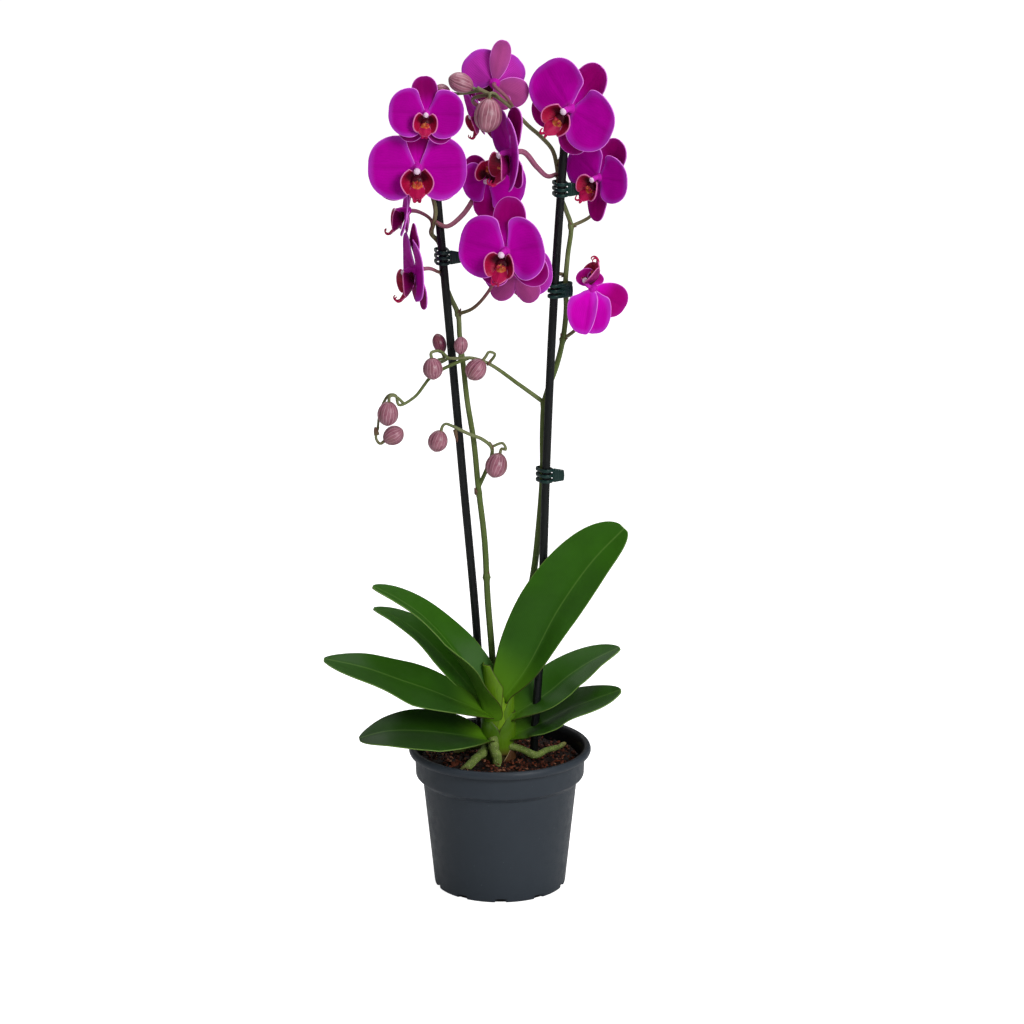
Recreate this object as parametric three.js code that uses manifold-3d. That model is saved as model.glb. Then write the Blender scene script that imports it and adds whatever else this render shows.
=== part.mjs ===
// Potted moth orchid: a plant with two flower spikes in a 12 cm nursery pot.
// Millimetres, +Z up. The origin is the middle of the pot's flat underside.
// The plant is displayed facing -Y, so +X is on the viewer's right.

import * as THREE from 'three';
import { mergeVertices } from 'three/addons/utils/BufferGeometryUtils.js';
import Module from 'manifold-3d';

const wasm = await Module();
wasm.setup();

// Clearance kept between neighbouring pieces.
const GAP = 0.3;
// How far a cutter is grown past the piece that it makes room for.
const CLEAR = 0.4;
// Detail finer than this is dropped where solids have been joined or cut.
const FINE = 0.12;

// Pot
const POT = {
  height: 96, wall: 1.3, floor: 2, rimRadius: 60.5, collarRadius: 56.3, stepRadius: 51,
  footRadius: 43.4, collarFoot: 76, stepHeight: 72, rimFoot: 90.6, rimSide: 92.6, rimShoulder: 95.4,
  rimEdge: 0.8, rimRound: 1.2, rimCrown: 2.6, footRound: 1.6, draft: 0.6, mouth: 0.9, segments: 30,
};
const NOTCH = { count: 10, width: 7, height: 3, depth: 5, shift: 0.02, below: 0.01 };

// Bark mix
const MIX = {
  level: 85.5, relief: 1.8, rings: 5, sectors: 25, slack: 0.5, shy: 1.1, overStep: 2,
  waves: [[0.31, 0.17, 0.4], [-0.22, 0.41, 1.7], [0.53, -0.37, 2.9], [0.11, 0.63, 4.1]],
};

// Stem wrapped in leaf sheaths
const STEM = {
  foot: 60, top: 129, halfWidth: 9.5, halfDepth: 7.5, sheath: 13, flare: 1.9, dip: 6, taper: 0.18,
  x: -1, sides: 14, rows: 10,
};

// Support sticks, 5.4 mm thick, pushed down into the mix
const STICK = { radius: 2.7, steps: 7, segments: 4 };
const STICKS = {
  stake_left: [[-12, 28, 30], [-13, 27, 100], [-15, 24, 160], [-24, 18, 272], [-33, 16, 379], [-41, 16, 471]],
  stake_right: [
    [21, 0, 30], [23, 4, 100], [27, 9, 165], [29, 10, 234], [31, 10, 301], [35, 10, 394], [42, 10, 505],
  ],
};

// Leaves: midrib from the stem to the tip, width of the near and the far half, and roll and fold in degrees
// at base, middle and tip. For a leaf that grows to the right the second half is the far one. A smaller foot,
// given for each half, or a smaller tip makes that end blunter.
const LEAF = { thickness: 1.8, rows: 8, columns: 4, reach: 0.996, sheath: 0.34, foot: [0.5, 0.5], tip: 0.56 };
// Rows of a blade crowd towards its tip by this power.
const CROWD = 1.15;
const LEAVES = [
  { midrib: [[2, -5, 128], [18, -5, 150], [39, -5, 191], [61, -1, 222], [82, 4, 243]],
    half: [16, 27], roll: [62, 64, 48], fold: [32, 20, 10], foot: [0.6, 0.38], tip: 0.42 },
  { midrib: [
    [-9, -6, 112], [-13, -6, 129], [-19, -4, 143], [-27, -2, 155], [-39, 1, 170], [-53, 3, 184],
    [-69, 4, 195], [-84, 4, 203],
  ],
    half: [19, 16], roll: [0, -9, -12], fold: [76, 26, 12], foot: [0.3, 0.12], tip: 0.5 },
  { midrib: [[-7, 4, 112], [-20, 8, 131], [-34, 12, 147], [-54, 16, 167], [-69, 18, 177], [-84, 18, 184]],
    half: [15, 15], roll: [-20, -20, -10], fold: [30, 18, 12] },
  { midrib: [
    [-6, -6, 117], [-25, -12, 127], [-46, -18, 138], [-67, -22, 147], [-88, -26, 156], [-115, -28, 163],
  ],
    half: [18, 27], roll: [-18, -26, -14], fold: [24, 13, 8], foot: [0.5, 0.42] },
  { midrib: [[-8, -7, 100], [-32, -22, 109], [-53, -30, 114], [-74, -34, 115], [-92, -36, 111]],
    half: [22, 28], roll: [-14, -18, -12], fold: [30, 10, 6], foot: [0.4, 0.5] },
  { midrib: [[3, 3, 110], [18, 5, 119], [33, 10, 128], [46, 14, 138], [61, 18, 147], [80, 20, 156]],
    half: [21, 20], roll: [18, 18, 8], fold: [30, 14, 10] },
  { midrib: [[5, -1, 100], [18, 3, 104], [32, 1, 111], [46, -3, 120], [61, -8, 128], [80, -10, 136]],
    half: [26, 21], roll: [16, 18, 12], fold: [26, 12, 6] },
];

// Aerial roots
const ROOTS = [
  { radius: [3.5, 3.0], path: [[-5, -9, 103], [-4, -12, 98], [-2, -14, 90], [-1, -15, 80]] },
  { radius: [2.8, 3.0], path: [[-9, -6, 95], [-14, -15, 92], [-22, -24, 87], [-25, -27, 81]] },
  { radius: [2.7, 1.5],
    path: [[6, -5, 96], [14, -6, 94], [23, -5, 90], [31, 3, 90], [39, 15, 89], [44, 25, 87.5]] },
  { radius: [2.4, 1.6], path: [[-8, 4, 95], [-20, 10, 90], [-31, 11, 86]] },
];

// Flower spikes: a main path, side branches, swollen nodes and bracts, with the radius at both ends of a path
const STALK = { flower: 1.2, bud: 0.9, behind: 9, budBehind: 3 };
const NODE = { long: 2.2, wide: 2.3 };
const SPIKES = {
  spike_left: {
    main: { radius: [2.3, 1.4], path: [
      [-4, 9, 120], [-5, 11, 152], [-8, 12, 192], [-10, 13, 232], [-14, 12.5, 268], [-17, 12, 300],
      [-21, 11, 326], [-24, 14, 353], [-26, 18, 369], [-27, 21, 382], [-32, 23.5, 393], [-37, 24.6, 407],
      [-38.9, 22.3, 428], [-44, 17.5, 436], [-42.5, 11, 443], [-41, 8.5, 452], [-44, 10, 466],
    ] },
    branches: [
      { radius: [1.4, 1.1],
        path: [[-14, 12.5, 268], [-8, 12, 282], [-5, 9, 295], [-11, 6, 302], [-20, 5, 306], [-30, 5, 311]] },
    ],
    nodes: [[-9, 12.5, 207], [-15, 12.5, 264], [-27, 21, 382], [-5, 9, 296]],
    bracts: [{ at: [-29, 5, 309], tip: [0.2, -0.3, -1], long: 4.5, wide: 1.4 }],
  },
  spike_right: {
    main: { radius: [2.5, 1.2], path: [
      [4, 9, 112], [13, 18, 162], [22, 18, 207], [26, 16, 245], [28, 14, 277], [28, 15, 306],
      [29, 17, 324], [32, 20, 334], [37, 21, 348], [41, 18, 366], [43, 16, 386], [42.5, 14.5, 404],
      [44, 18, 422], [46, 20, 440], [43, 19, 450], [39, 16.5, 461], [38, 16.5, 468], [37, 17, 478],
      [34, 17, 490], [26, 13, 500], [19, 7, 507], [13, 2, 514], [7, -2, 521], [0, -5, 527],
      [-8, -7, 531], [-14, -7, 534],
    ] },
    branches: [
      { radius: [1.5, 1.0],
        path: [[29, 17, 324], [13, 12, 337], [-7, 4, 353], [-18, 3, 357], [-26, 2, 357], [-33, 2, 357]] },
      { radius: [1.2, 0.8], path: [
        [-20, 3, 357], [-33, 1, 352], [-44, 0, 345.5], [-55, -3, 332.5], [-65, -6, 328], [-67, -5, 334],
        [-71, -3, 334], [-75, 1, 328], [-78, 1.5, 319], [-79, -1, 310],
      ] },
    ],
    nodes: [[29, 17, 323], [46, 20, 440], [-7, 4, 353], [41, 18, 366]],
    bracts: [{ at: [-79.5, -2, 307], tip: [-0.2, 0, 1], long: 3.2, wide: 1.8 }],
  },
};

// Spring clips that hold a spike to a stick, placed by height
const CLIPS = [
  { stick: 'stake_left', spike: 'spike_left', z: 420.5 },
  { stick: 'stake_right', spike: 'spike_right', z: 466 },
  { stick: 'stake_right', spike: 'spike_right', z: 400 },
  { stick: 'stake_right', spike: 'spike_right', z: 277 },
];
const CLIP = { bore: 3.5, band: 1.1, height: 2.1, pitch: 3.6, rings: 3, arc: 2, tab: 8, tabThickness: 2.2 };

// Blooms: place of the hub, the way that it faces (yaw 0 looks at -Y, + turns to +X), roll, size and the
// route of its stalk from the spike. Where a bloom's tepals differ from the unit flower's, their turns and
// their scales along and across stand here, and so does the way that its lip hangs, in degrees.
const BLOOMS = [
  { at: [-46, -15, 519], yaw: 0, pitch: 8, roll: -4, size: 0.76, cup: 1.5,
    petal: { turns: [-90, 88] }, dorsal: { turns: [-8] },
    spike: 'spike_left', stalk: [[-44, 10, 466], [-46, 11, 490], [-47, 6, 508]] },
  { at: [-52, -8, 483], yaw: 0, pitch: 3, roll: 0, size: 1.0,
    petal: { turns: [-88, 88] }, lateral: { turns: [-124, 124] },
    spike: 'spike_left', stalk: [[-42, 9, 460], [-46, 9, 471]] },
  { at: [-60, 17, 451], yaw: -86, pitch: 6, roll: 0, size: 0.82, lateral: { scales: [[0.6, 1], [0.6, 1]] },
    spike: 'spike_left', stalk: [[-43.5, 17, 436], [-44, 20, 444]] },
  { at: [-54, -2, 416], yaw: -76, pitch: -3, roll: 0, size: 0.97,
    spike: 'spike_left', stalk: [[-37.5, 22, 409], [-40, 12, 412]] },
  { at: [4, -18, 431], yaw: -20, pitch: 3, roll: -5, size: 1.0,
    petal: { turns: [-84, 70], scales: [[1, 1], [0.85, 1]] }, dorsal: { scales: [[1.14, 1]] },
    lateral: { turns: [-152, 116], scales: [[0.85, 1], [1.1, 1]] },
    spike: 'spike_left', stalk: [[-27, 21, 382], [-17, 12, 388], [-7, 3, 401], [2, -4, 420]] },
  { at: [11, 10, 411], yaw: 160, pitch: -10, roll: 0, size: 0.75, cup: 1.5,
    spike: 'spike_right', stalk: [[43, 16, 409], [37, 18, 409.5], [30, 14, 410], [20, 3, 411]] },
  { at: [-8, 16, 471], yaw: -8, pitch: -5, roll: 180, lipRoll: -20, size: 0.85,
    petal: { scales: [[0.95, 1], [0.6, 0.75]] }, lateral: { scales: [[0.7, 0.8], [0.75, 0.8]] },
    spike: 'spike_left', stalk: [[-41, 9, 445], [-34, 9.5, 442], [-24, 16, 448], [-15, 23, 460]] },
  { at: [7, -4, 492], yaw: -66, pitch: 0, roll: 0, size: 1.0, cup: 1.6,
    petal: { turns: [-30, 86], scales: [[0.9, 0.7], [0.6, 1.15]] },
    dorsal: { turns: [18] }, lateral: { turns: [-140, 150], scales: [[0.6, 0.8], [0.8, 0.9]] },
    spike: 'spike_right', stalk: [[37.5, 17, 475], [31, 12.5, 474], [24, 6, 481]] },
  { at: [-3, 8, 535], yaw: 180, pitch: 5, roll: 12, size: 1.0, cup: 2,
    petal: { turns: [-40, 58], scales: [[0.66, 0.6], [0.74, 0.66]] },
    lateral: { turns: [-104, -144], scales: [[0.78, 0.9], [0.62, 0.5]] }, dorsal: { scales: [[0.92, 0.6]] },
    spike: 'spike_right', stalk: [[10, 0, 517.5], [5, -4, 527]] },
  { at: [-14, 37.5, 511], yaw: -70, pitch: -20, roll: 0, size: 0.72,
    petal: { scales: [[0.75, 0.85], [0.75, 0.85]] },
    spike: 'spike_right', stalk: [[-6, -6.5, 530], [-16, 3, 526], [-16, 18, 520]] },
  { at: [45, -8, 521], yaw: -30, pitch: 0, roll: -38, size: 1.02,
    petal: { turns: [-72, 76], scales: [[1.04, 1], [1.04, 0.98]] }, dorsal: { scales: [[1.12, 1]] },
    spike: 'spike_right', stalk: [[37, 17, 480], [44, 18, 496], [52, 10, 513]] },
  { at: [63.5, 6, 474.5], yaw: -40, pitch: 0, roll: -28, size: 0.85,
    petal: { turns: [-80, 62], scales: [[1, 1], [0.9, 0.9]] }, dorsal: { turns: [8], scales: [[1.15, 1.1]] },
    lateral: { turns: [-138, 160], scales: [[1, 1], [1.2, 0.85]] },
    spike: 'spike_right', stalk: [[46, 20, 440], [58, 21, 446], [70, 20, 460]] },
  { at: [59, -4, 405], yaw: 0, pitch: 10, roll: 0, size: 0.85, lipTilt: -38, lipYaw: -70, lipRoll: 172,
    petal: { turns: [-166, 170], scales: [[1.15, 0.75], [1.1, 0.62]] },
    dorsal: { turns: [122], scales: [[0.95, 1.2]] },
    lateral: { turns: [-30, 24], scales: [[0.5, 0.7], [0.4, 0.6]] },
    spike: 'spike_right', stalk: [[41, 18, 366], [50, 16, 374], [56, 13, 390]] },
];

// The unit flower is about 66 mm wide. A tepal's turn is measured clockwise from straight up, seen from the
// front. It reaches out from its root, is widest past the middle, and rises, bends and cups forward.
const TEPAL = {
  dorsal: {
    turns: [0], reach: 30, half: 11, root: 1.2, level: -1.5, rise: -1.5, bend: 1.5, cup: 1.2, pull: 0,
    a: 0.7, b: 0.45, rows: 3, columns: 2,
  },
  lateral: {
    turns: [-138, 138], reach: 28, half: 11, root: 1.2, level: -1.7, rise: -1.5, bend: 1, cup: 1.2, pull: 0,
    a: 0.7, b: 0.5, rows: 3, columns: 2,
  },
  petal: {
    turns: [-80, 80], reach: 30.5, half: 20.5, root: 1.0, level: -0.3, rise: 3.4, bend: -2, cup: 1.5,
    pull: 0.24, a: 0.72, b: 0.42, rows: 4, columns: 3,
  },
};
const BLADE = { thickness: 1.0, ends: 0.03 };
const HUB = {
  radius: 3.7, depth: 3.2, level: -1.2, column: 2.0, taper: 0.85,
  columnLength: 7.5, columnBow: 0.4, columnDrop: -1,
};
const LIP = {
  bowl: 9.3, depth: 8.0, drop: -8.2, level: 2.8, thickness: 0.9,
  lobeSpread: 70, lobeTurn: 94, lobeNarrow: 0.25, lobeLean: 11, lobeFoot: 16, lobeTop: 92,
  tongue: 11.8, tongueHalf: 4.7, tongueRoot: 3.4, tongueTip: 1.1, tongueStep: 0.4, tongueRise: 8,
  tongueCurl: 1.3, tongueArch: 1.6, shoulder: 0.62, clawRadius: [1.2, 1.8],
  tendril: [[0.7, -18.8, 10], [2.6, -21.2, 13], [3.8, -18.6, 15.2]], tendrilRadius: [0.7, 0.45],
  tendrilSides: 3, tendrilStep: 5,
};

// Buds: place of the middle, the direction in which the tip points, half length, half width, and stalk
const BUDS = [
  { at: [-24, -6, 537], tip: [-0.9, -0.1, 0.4], long: 8, wide: 6.3,
    spike: 'spike_right', stalk: [[-10, -7, 532]] },
  { at: [-36, 0, 531], tip: [-0.9, 0, 0.2], long: 5, wide: 4.4,
    spike: 'spike_right', stalk: [[-11, -7, 532.5], [-22, 3, 529]] },
  { at: [-7, -13, 518], tip: [-0.1, -0.1, -1], long: 10.4, wide: 8.8,
    spike: 'spike_right', stalk: [[0, -5, 527], [-3, -10, 531]] },
  { at: [-39, 22, 362], tip: [-0.3, 0.3, 0.9], long: 6.5, wide: 4.4,
    spike: 'spike_right', stalk: [[-33, 2, 357], [-38, 8, 353], [-40, 15, 353]] },
  { at: [-25, 3, 365], tip: [0.1, 0, 1], long: 5.6, wide: 4.5,
    spike: 'spike_right', stalk: [[-25, 2, 357]] },
  { at: [-43, -9, 353], tip: [0.1, -0.1, -1], long: 6.9, wide: 6.4,
    spike: 'spike_right', stalk: [[-33, 2, 357], [-38, -2, 362.5]] },
  { at: [-15, -3, 351], tip: [-0.6, -0.1, -0.8], long: 7.3, wide: 6.7,
    spike: 'spike_right', stalk: [[-7, 4, 353], [-3, 1, 360], [-7, -2, 362]] },
  { at: [-72, -8, 323], tip: [-0.1, 0, -1], long: 7.8, wide: 6.8,
    spike: 'spike_right', stalk: [[-62, -5.5, 329], [-66, -6, 333], [-69, -7, 334.5]] },
  { at: [-69, -4, 307], tip: [0.8, 0, 0.5], long: 6.9, wide: 6.2,
    spike: 'spike_right', stalk: [[-78.8, 0, 312], [-80, -3, 305]] },
  { at: [-40, 3, 302], tip: [-0.3, -0.1, -0.95], long: 7, wide: 6.4,
    spike: 'spike_left', stalk: [[-30, 5, 311], [-35, 4, 313]] },
  { at: [-2, 6, 285], tip: [-0.3, -0.2, -0.95], long: 8, wide: 7.2,
    spike: 'spike_left', stalk: [[-6, 9, 296], [2, 8, 299], [4, 7, 295]] },
];

// Sides of the round pieces, and the length of one step along them
const TUBE = {
  mainSides: 5, mainStep: 17, stalkSides: 4, branchStep: 10, bloomStep: 12, budStep: 9,
  rootSides: 5, rootStep: 7,
};
const BALL = { budAround: 6, budDown: 5, nodeAround: 5, nodeDown: 3, hubAround: 5, hubDown: 3 };

const UP = new THREE.Vector3(0, 0, 1);
const vec = (point) => new THREE.Vector3(...point);
const mix = (a, b, t) => a + (b - a) * t;
const radians = THREE.MathUtils.degToRad;

// Solids

function solidFrom(geometry) {
  const bare = geometry.clone();
  bare.deleteAttribute('normal');
  bare.deleteAttribute('uv');
  const merged = mergeVertices(bare, 1e-4);
  return new wasm.Manifold(new wasm.Mesh({
    numProp: 3,
    vertProperties: new Float32Array(merged.attributes.position.array),
    triVerts: new Uint32Array(merged.index.array),
  }));
}

function geometryFrom(solid) {
  const mesh = solid.asOriginal().simplify(FINE).getMesh();
  const geometry = new THREE.BufferGeometry();
  geometry.setAttribute('position', new THREE.BufferAttribute(new Float32Array(mesh.vertProperties), 3));
  geometry.setIndex(new THREE.BufferAttribute(new Uint32Array(mesh.triVerts), 1));
  return geometry;
}

// Join a list of solids into one.
function joined(solids) {
  return solids.reduce((all, next) => all.add(next));
}

// The largest connected body, so that a cut leaves no loose scrap.
function largest(solid) {
  return solid.decompose().reduce((best, next) => (next.volume() > best.volume() ? next : best));
}

// A closed blade round a surface: surface(s, t) with s from 0 to 1 along it and t from -1 to 1 across it.
function blade(surface, rows, columns, thickness, along = (s) => s) {
  const grid = [];
  for (let i = 0; i <= rows; i++) {
    grid.push([]);
    for (let j = 0; j <= columns; j++) grid[i].push(surface(along(i / rows), -1 + (2 * j) / columns));
  }
  const positions = [];
  for (const side of [0.5, -0.5]) {
    for (let i = 0; i <= rows; i++) {
      for (let j = 0; j <= columns; j++) {
        const lengthwise = grid[Math.min(i + 1, rows)][j].clone().sub(grid[Math.max(i - 1, 0)][j]);
        const crosswise = grid[i][Math.min(j + 1, columns)].clone().sub(grid[i][Math.max(j - 1, 0)]);
        const normal = lengthwise.cross(crosswise).normalize();
        positions.push(...grid[i][j].clone().addScaledVector(normal, side * thickness).toArray());
      }
    }
  }
  const at = (i, j) => i * (columns + 1) + j;
  const under = (rows + 1) * (columns + 1);
  const index = [];
  for (let i = 0; i < rows; i++) {
    for (let j = 0; j < columns; j++) {
      const corners = [at(i, j), at(i + 1, j), at(i + 1, j + 1), at(i, j + 1)];
      const [a, b, c, d] = j < columns / 2 ? corners : [...corners.slice(1), corners[0]];
      index.push(a, b, c, a, c, d);
      index.push(a + under, c + under, b + under, a + under, d + under, c + under);
    }
  }
  const rim = [];
  for (let i = 0; i < rows; i++) rim.push([at(i, 0), at(i + 1, 0)]);
  for (let j = 0; j < columns; j++) rim.push([at(rows, j), at(rows, j + 1)]);
  for (let i = rows; i > 0; i--) rim.push([at(i, columns), at(i - 1, columns)]);
  for (let j = columns; j > 0; j--) rim.push([at(0, j), at(0, j - 1)]);
  for (const [a, b] of rim) index.push(b, a, a + under, b, a + under, b + under);
  const geometry = new THREE.BufferGeometry();
  geometry.setAttribute('position', new THREE.BufferAttribute(new Float32Array(positions), 3));
  geometry.setIndex(index);
  return solidFrom(geometry);
}

// A closed tube along a smooth curve through the points, its radius going from radius[0] to radius[1].
function taperedTube(points, radius, sides, step, grow = 0) {
  const curve = new THREE.CatmullRomCurve3(points.map(vec), false, 'centripetal');
  const steps = Math.max(2, Math.round(curve.getLength() / step));
  const frames = curve.computeFrenetFrames(steps, false);
  const positions = [];
  for (let i = 0; i <= steps; i++) {
    const centre = curve.getPointAt(i / steps);
    const r = mix(radius[0], radius[1], i / steps) + grow;
    for (let j = 0; j < sides; j++) {
      const angle = (2 * Math.PI * j) / sides;
      const rim = centre.clone()
        .addScaledVector(frames.normals[i], r * Math.cos(angle))
        .addScaledVector(frames.binormals[i], r * Math.sin(angle));
      positions.push(...rim.toArray());
    }
  }
  const foot = positions.length / 3;
  positions.push(...curve.getPointAt(0).toArray(), ...curve.getPointAt(1).toArray());
  const index = [];
  for (let i = 0; i < steps; i++) {
    for (let j = 0; j < sides; j++) {
      const a = i * sides + j;
      const b = i * sides + ((j + 1) % sides);
      index.push(a, b, b + sides, a, b + sides, a + sides);
    }
  }
  const last = steps * sides;
  for (let j = 0; j < sides; j++) {
    const next = (j + 1) % sides;
    index.push(foot, next, j, foot + 1, last + j, last + next);
  }
  const geometry = new THREE.BufferGeometry();
  geometry.setAttribute('position', new THREE.BufferAttribute(new Float32Array(positions), 3));
  geometry.setIndex(index);
  return solidFrom(geometry);
}

// A ball stretched along one axis, its pole pointing that way
function egg(centre, axis, long, wide, around, down) {
  const geometry = new THREE.SphereGeometry(1, around, down);
  geometry.scale(wide, long, wide);
  const pole = new THREE.Vector3(0, 1, 0);
  geometry.applyQuaternion(new THREE.Quaternion().setFromUnitVectors(pole, axis.clone().normalize()));
  geometry.translate(centre.x, centre.y, centre.z);
  return solidFrom(geometry);
}

// Lathe in the plane of radius and height, stood up along +Z.
function turned(profile, segments) {
  const geometry = new THREE.LatheGeometry(profile.map(([r, z]) => new THREE.Vector2(r, z)), segments);
  geometry.rotateX(Math.PI / 2);
  return solidFrom(geometry);
}

// Pot

function potSolid() {
  const outside = [
    [0, 0], [POT.footRadius - POT.footRound, 0], [POT.footRadius, POT.footRound],
    [POT.stepRadius, POT.stepHeight], [POT.collarRadius - POT.draft, POT.collarFoot],
    [POT.collarRadius, POT.rimFoot], [POT.rimRadius - POT.rimEdge, POT.rimFoot],
    [POT.rimRadius, POT.rimSide], [POT.rimRadius - POT.rimRound, POT.rimShoulder],
    [POT.rimRadius - POT.rimCrown, POT.height],
  ];
  const bore = POT.collarRadius - POT.wall;
  const inside = [
    [bore + POT.mouth, POT.rimShoulder - POT.draft], [bore, POT.rimSide],
    [bore - POT.rimEdge, POT.collarFoot + 1], [POT.stepRadius - POT.wall, POT.stepHeight + POT.draft],
    [POT.footRadius - POT.wall, POT.floor], [0, POT.floor],
  ];
  let pot = turned([...outside, ...inside, outside[0]], POT.segments);
  for (let k = 0; k < NOTCH.count; k++) {
    const box = new THREE.BoxGeometry(NOTCH.width, NOTCH.depth, NOTCH.height);
    box.translate(0, -POT.footRadius, NOTCH.height / 2 - NOTCH.below);
    box.rotateZ((2 * Math.PI * (k + NOTCH.shift)) / NOTCH.count);
    pot = pot.subtract(solidFrom(box));
  }
  return pot;
}

// Bark mix: a plug that follows the pot's inside, with chips raised on top by a sum of waves.
function mixHeight(x, y) {
  const sum = MIX.waves.reduce((all, [kx, ky, phase]) => all + Math.sin(kx * x + ky * y + phase), 0);
  return MIX.level + (MIX.relief * sum) / MIX.waves.length;
}

function mixSolid() {
  const inner = (radius) => radius - POT.wall - MIX.slack;
  const walls = [
    [inner(POT.footRadius) - MIX.slack, POT.floor + GAP],
    [inner(POT.stepRadius) - MIX.slack, POT.stepHeight],
    [inner(POT.collarRadius) - MIX.shy - MIX.slack, POT.collarFoot + MIX.overStep],
  ];
  const positions = [0, 0, POT.floor + GAP];
  const ring = (radius, height) => {
    for (let j = 0; j < MIX.sectors; j++) {
      const angle = (2 * Math.PI * j) / MIX.sectors;
      const x = radius * Math.cos(angle);
      const y = radius * Math.sin(angle);
      positions.push(x, y, height(x, y));
    }
  };
  for (const [radius, z] of walls) ring(radius, () => z);
  const top = inner(POT.collarRadius) - MIX.shy;
  for (let k = 0; k < MIX.rings; k++) ring(top * (1 - k / MIX.rings), mixHeight);
  const last = positions.length / 3;
  positions.push(0, 0, mixHeight(0, 0));
  const index = [];
  const rings = walls.length + MIX.rings;
  for (let j = 0; j < MIX.sectors; j++) {
    const next = (j + 1) % MIX.sectors;
    index.push(0, 1 + next, 1 + j);
    for (let k = 0; k < rings - 1; k++) {
      const a = 1 + k * MIX.sectors + j;
      const b = 1 + k * MIX.sectors + next;
      index.push(a, b, b + MIX.sectors, a, b + MIX.sectors, a + MIX.sectors);
    }
    const rim = 1 + (rings - 1) * MIX.sectors;
    index.push(rim + j, rim + next, last);
  }
  const geometry = new THREE.BufferGeometry();
  geometry.setAttribute('position', new THREE.BufferAttribute(new Float32Array(positions), 3));
  geometry.setIndex(index);
  return solidFrom(geometry);
}

// Stem: an oval column whose radius steps out at each sheath. A sheath's edge dips in front and behind.
function stemSolid(grow = 0) {
  const positions = [];
  for (let i = 0; i <= STEM.rows; i++) {
    const z = mix(STEM.foot, STEM.top, i / STEM.rows);
    for (let j = 0; j < STEM.sides; j++) {
      const angle = (2 * Math.PI * j) / STEM.sides;
      const dip = STEM.dip * Math.abs(Math.sin(angle));
      const sheath = ((z + dip) / STEM.sheath) % 1;
      const taper = 1 - STEM.taper * (i / STEM.rows);
      const flare = STEM.flare * sheath + grow;
      positions.push(
        STEM.x + (STEM.halfWidth * taper + flare) * Math.cos(angle),
        (STEM.halfDepth * taper + flare) * Math.sin(angle),
        z + grow * (i / STEM.rows - 0.5) * 2,
      );
    }
  }
  const foot = positions.length / 3;
  positions.push(STEM.x, 0, STEM.foot - grow, STEM.x, 0, STEM.top + grow);
  const index = [];
  for (let j = 0; j < STEM.sides; j++) {
    const next = (j + 1) % STEM.sides;
    for (let i = 0; i < STEM.rows; i++) {
      const a = i * STEM.sides + j;
      const b = i * STEM.sides + next;
      index.push(a, b, b + STEM.sides, a, b + STEM.sides, a + STEM.sides);
    }
    const rim = STEM.rows * STEM.sides;
    index.push(foot, next, j, foot + 1, rim + j, rim + next);
  }
  const geometry = new THREE.BufferGeometry();
  geometry.setAttribute('position', new THREE.BufferAttribute(new Float32Array(positions), 3));
  geometry.setIndex(index);
  return solidFrom(geometry);
}

// Leaf: a blade folded along its midrib, rolled about it, wider past the middle and narrow at the base.
function valueAlong(values, s) {
  return s < 0.5 ? mix(values[0], values[1], 2 * s) : mix(values[1], values[2], 2 * s - 1);
}

function leafHalfWidth(leaf, s, half) {
  const { foot: feet, tip } = { ...LEAF, ...leaf };
  const foot = feet[half];
  const crest = foot / (foot + tip);
  const body = (s ** foot * (1 - s) ** tip) / (crest ** foot * (1 - crest) ** tip);
  const sheath = LEAF.sheath * Math.max(0, 1 - 2 * s);
  return Math.max(body, sheath);
}

function leafSolid(leaf, grow = 0) {
  const curve = new THREE.CatmullRomCurve3(leaf.midrib.map(vec), false, 'centripetal');
  const surface = (s, t) => {
    const along = curve.getTangentAt(s);
    const up = UP.clone().addScaledVector(along, -UP.dot(along)).normalize();
    const side = up.clone().cross(along);
    const roll = radians(valueAlong(leaf.roll, s));
    const across = side.clone().multiplyScalar(Math.cos(roll)).addScaledVector(up, Math.sin(roll));
    const normal = up.clone().multiplyScalar(Math.cos(roll)).addScaledVector(side, -Math.sin(roll));
    const fold = radians(valueAlong(leaf.fold, s));
    const half = t < 0 ? 0 : 1;
    const width = leaf.half[half] * leafHalfWidth(leaf, s, half) + grow;
    return curve.getPointAt(s)
      .addScaledVector(across, width * t * Math.cos(fold))
      .addScaledVector(normal, width * Math.abs(t) * Math.sin(fold));
  };
  const along = (s) => LEAF.reach * Math.sin((s * Math.PI) / 2) ** CROWD;
  return blade(surface, LEAF.rows, LEAF.columns, LEAF.thickness + 2 * grow, along);
}

// Flower frame: the columns are the flower's right, its up and the way that it faces.
function flowerFrame(bloom) {
  const yaw = radians(bloom.yaw);
  const pitch = radians(bloom.pitch);
  const roll = radians(bloom.roll);
  const level = Math.cos(pitch);
  const face = new THREE.Vector3(Math.sin(yaw) * level, -Math.cos(yaw) * level, Math.sin(pitch));
  const up = UP.clone().addScaledVector(face, -UP.dot(face)).normalize();
  const right = up.clone().cross(face);
  const turnedRight = right.clone().multiplyScalar(Math.cos(roll)).addScaledVector(up, Math.sin(roll));
  const turnedUp = up.clone().multiplyScalar(Math.cos(roll)).addScaledVector(right, -Math.sin(roll));
  return new THREE.Matrix4().makeBasis(turnedRight, turnedUp, face)
    .scale(new THREE.Vector3(bloom.size, bloom.size, bloom.size))
    .setPosition(vec(bloom.at));
}

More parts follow.
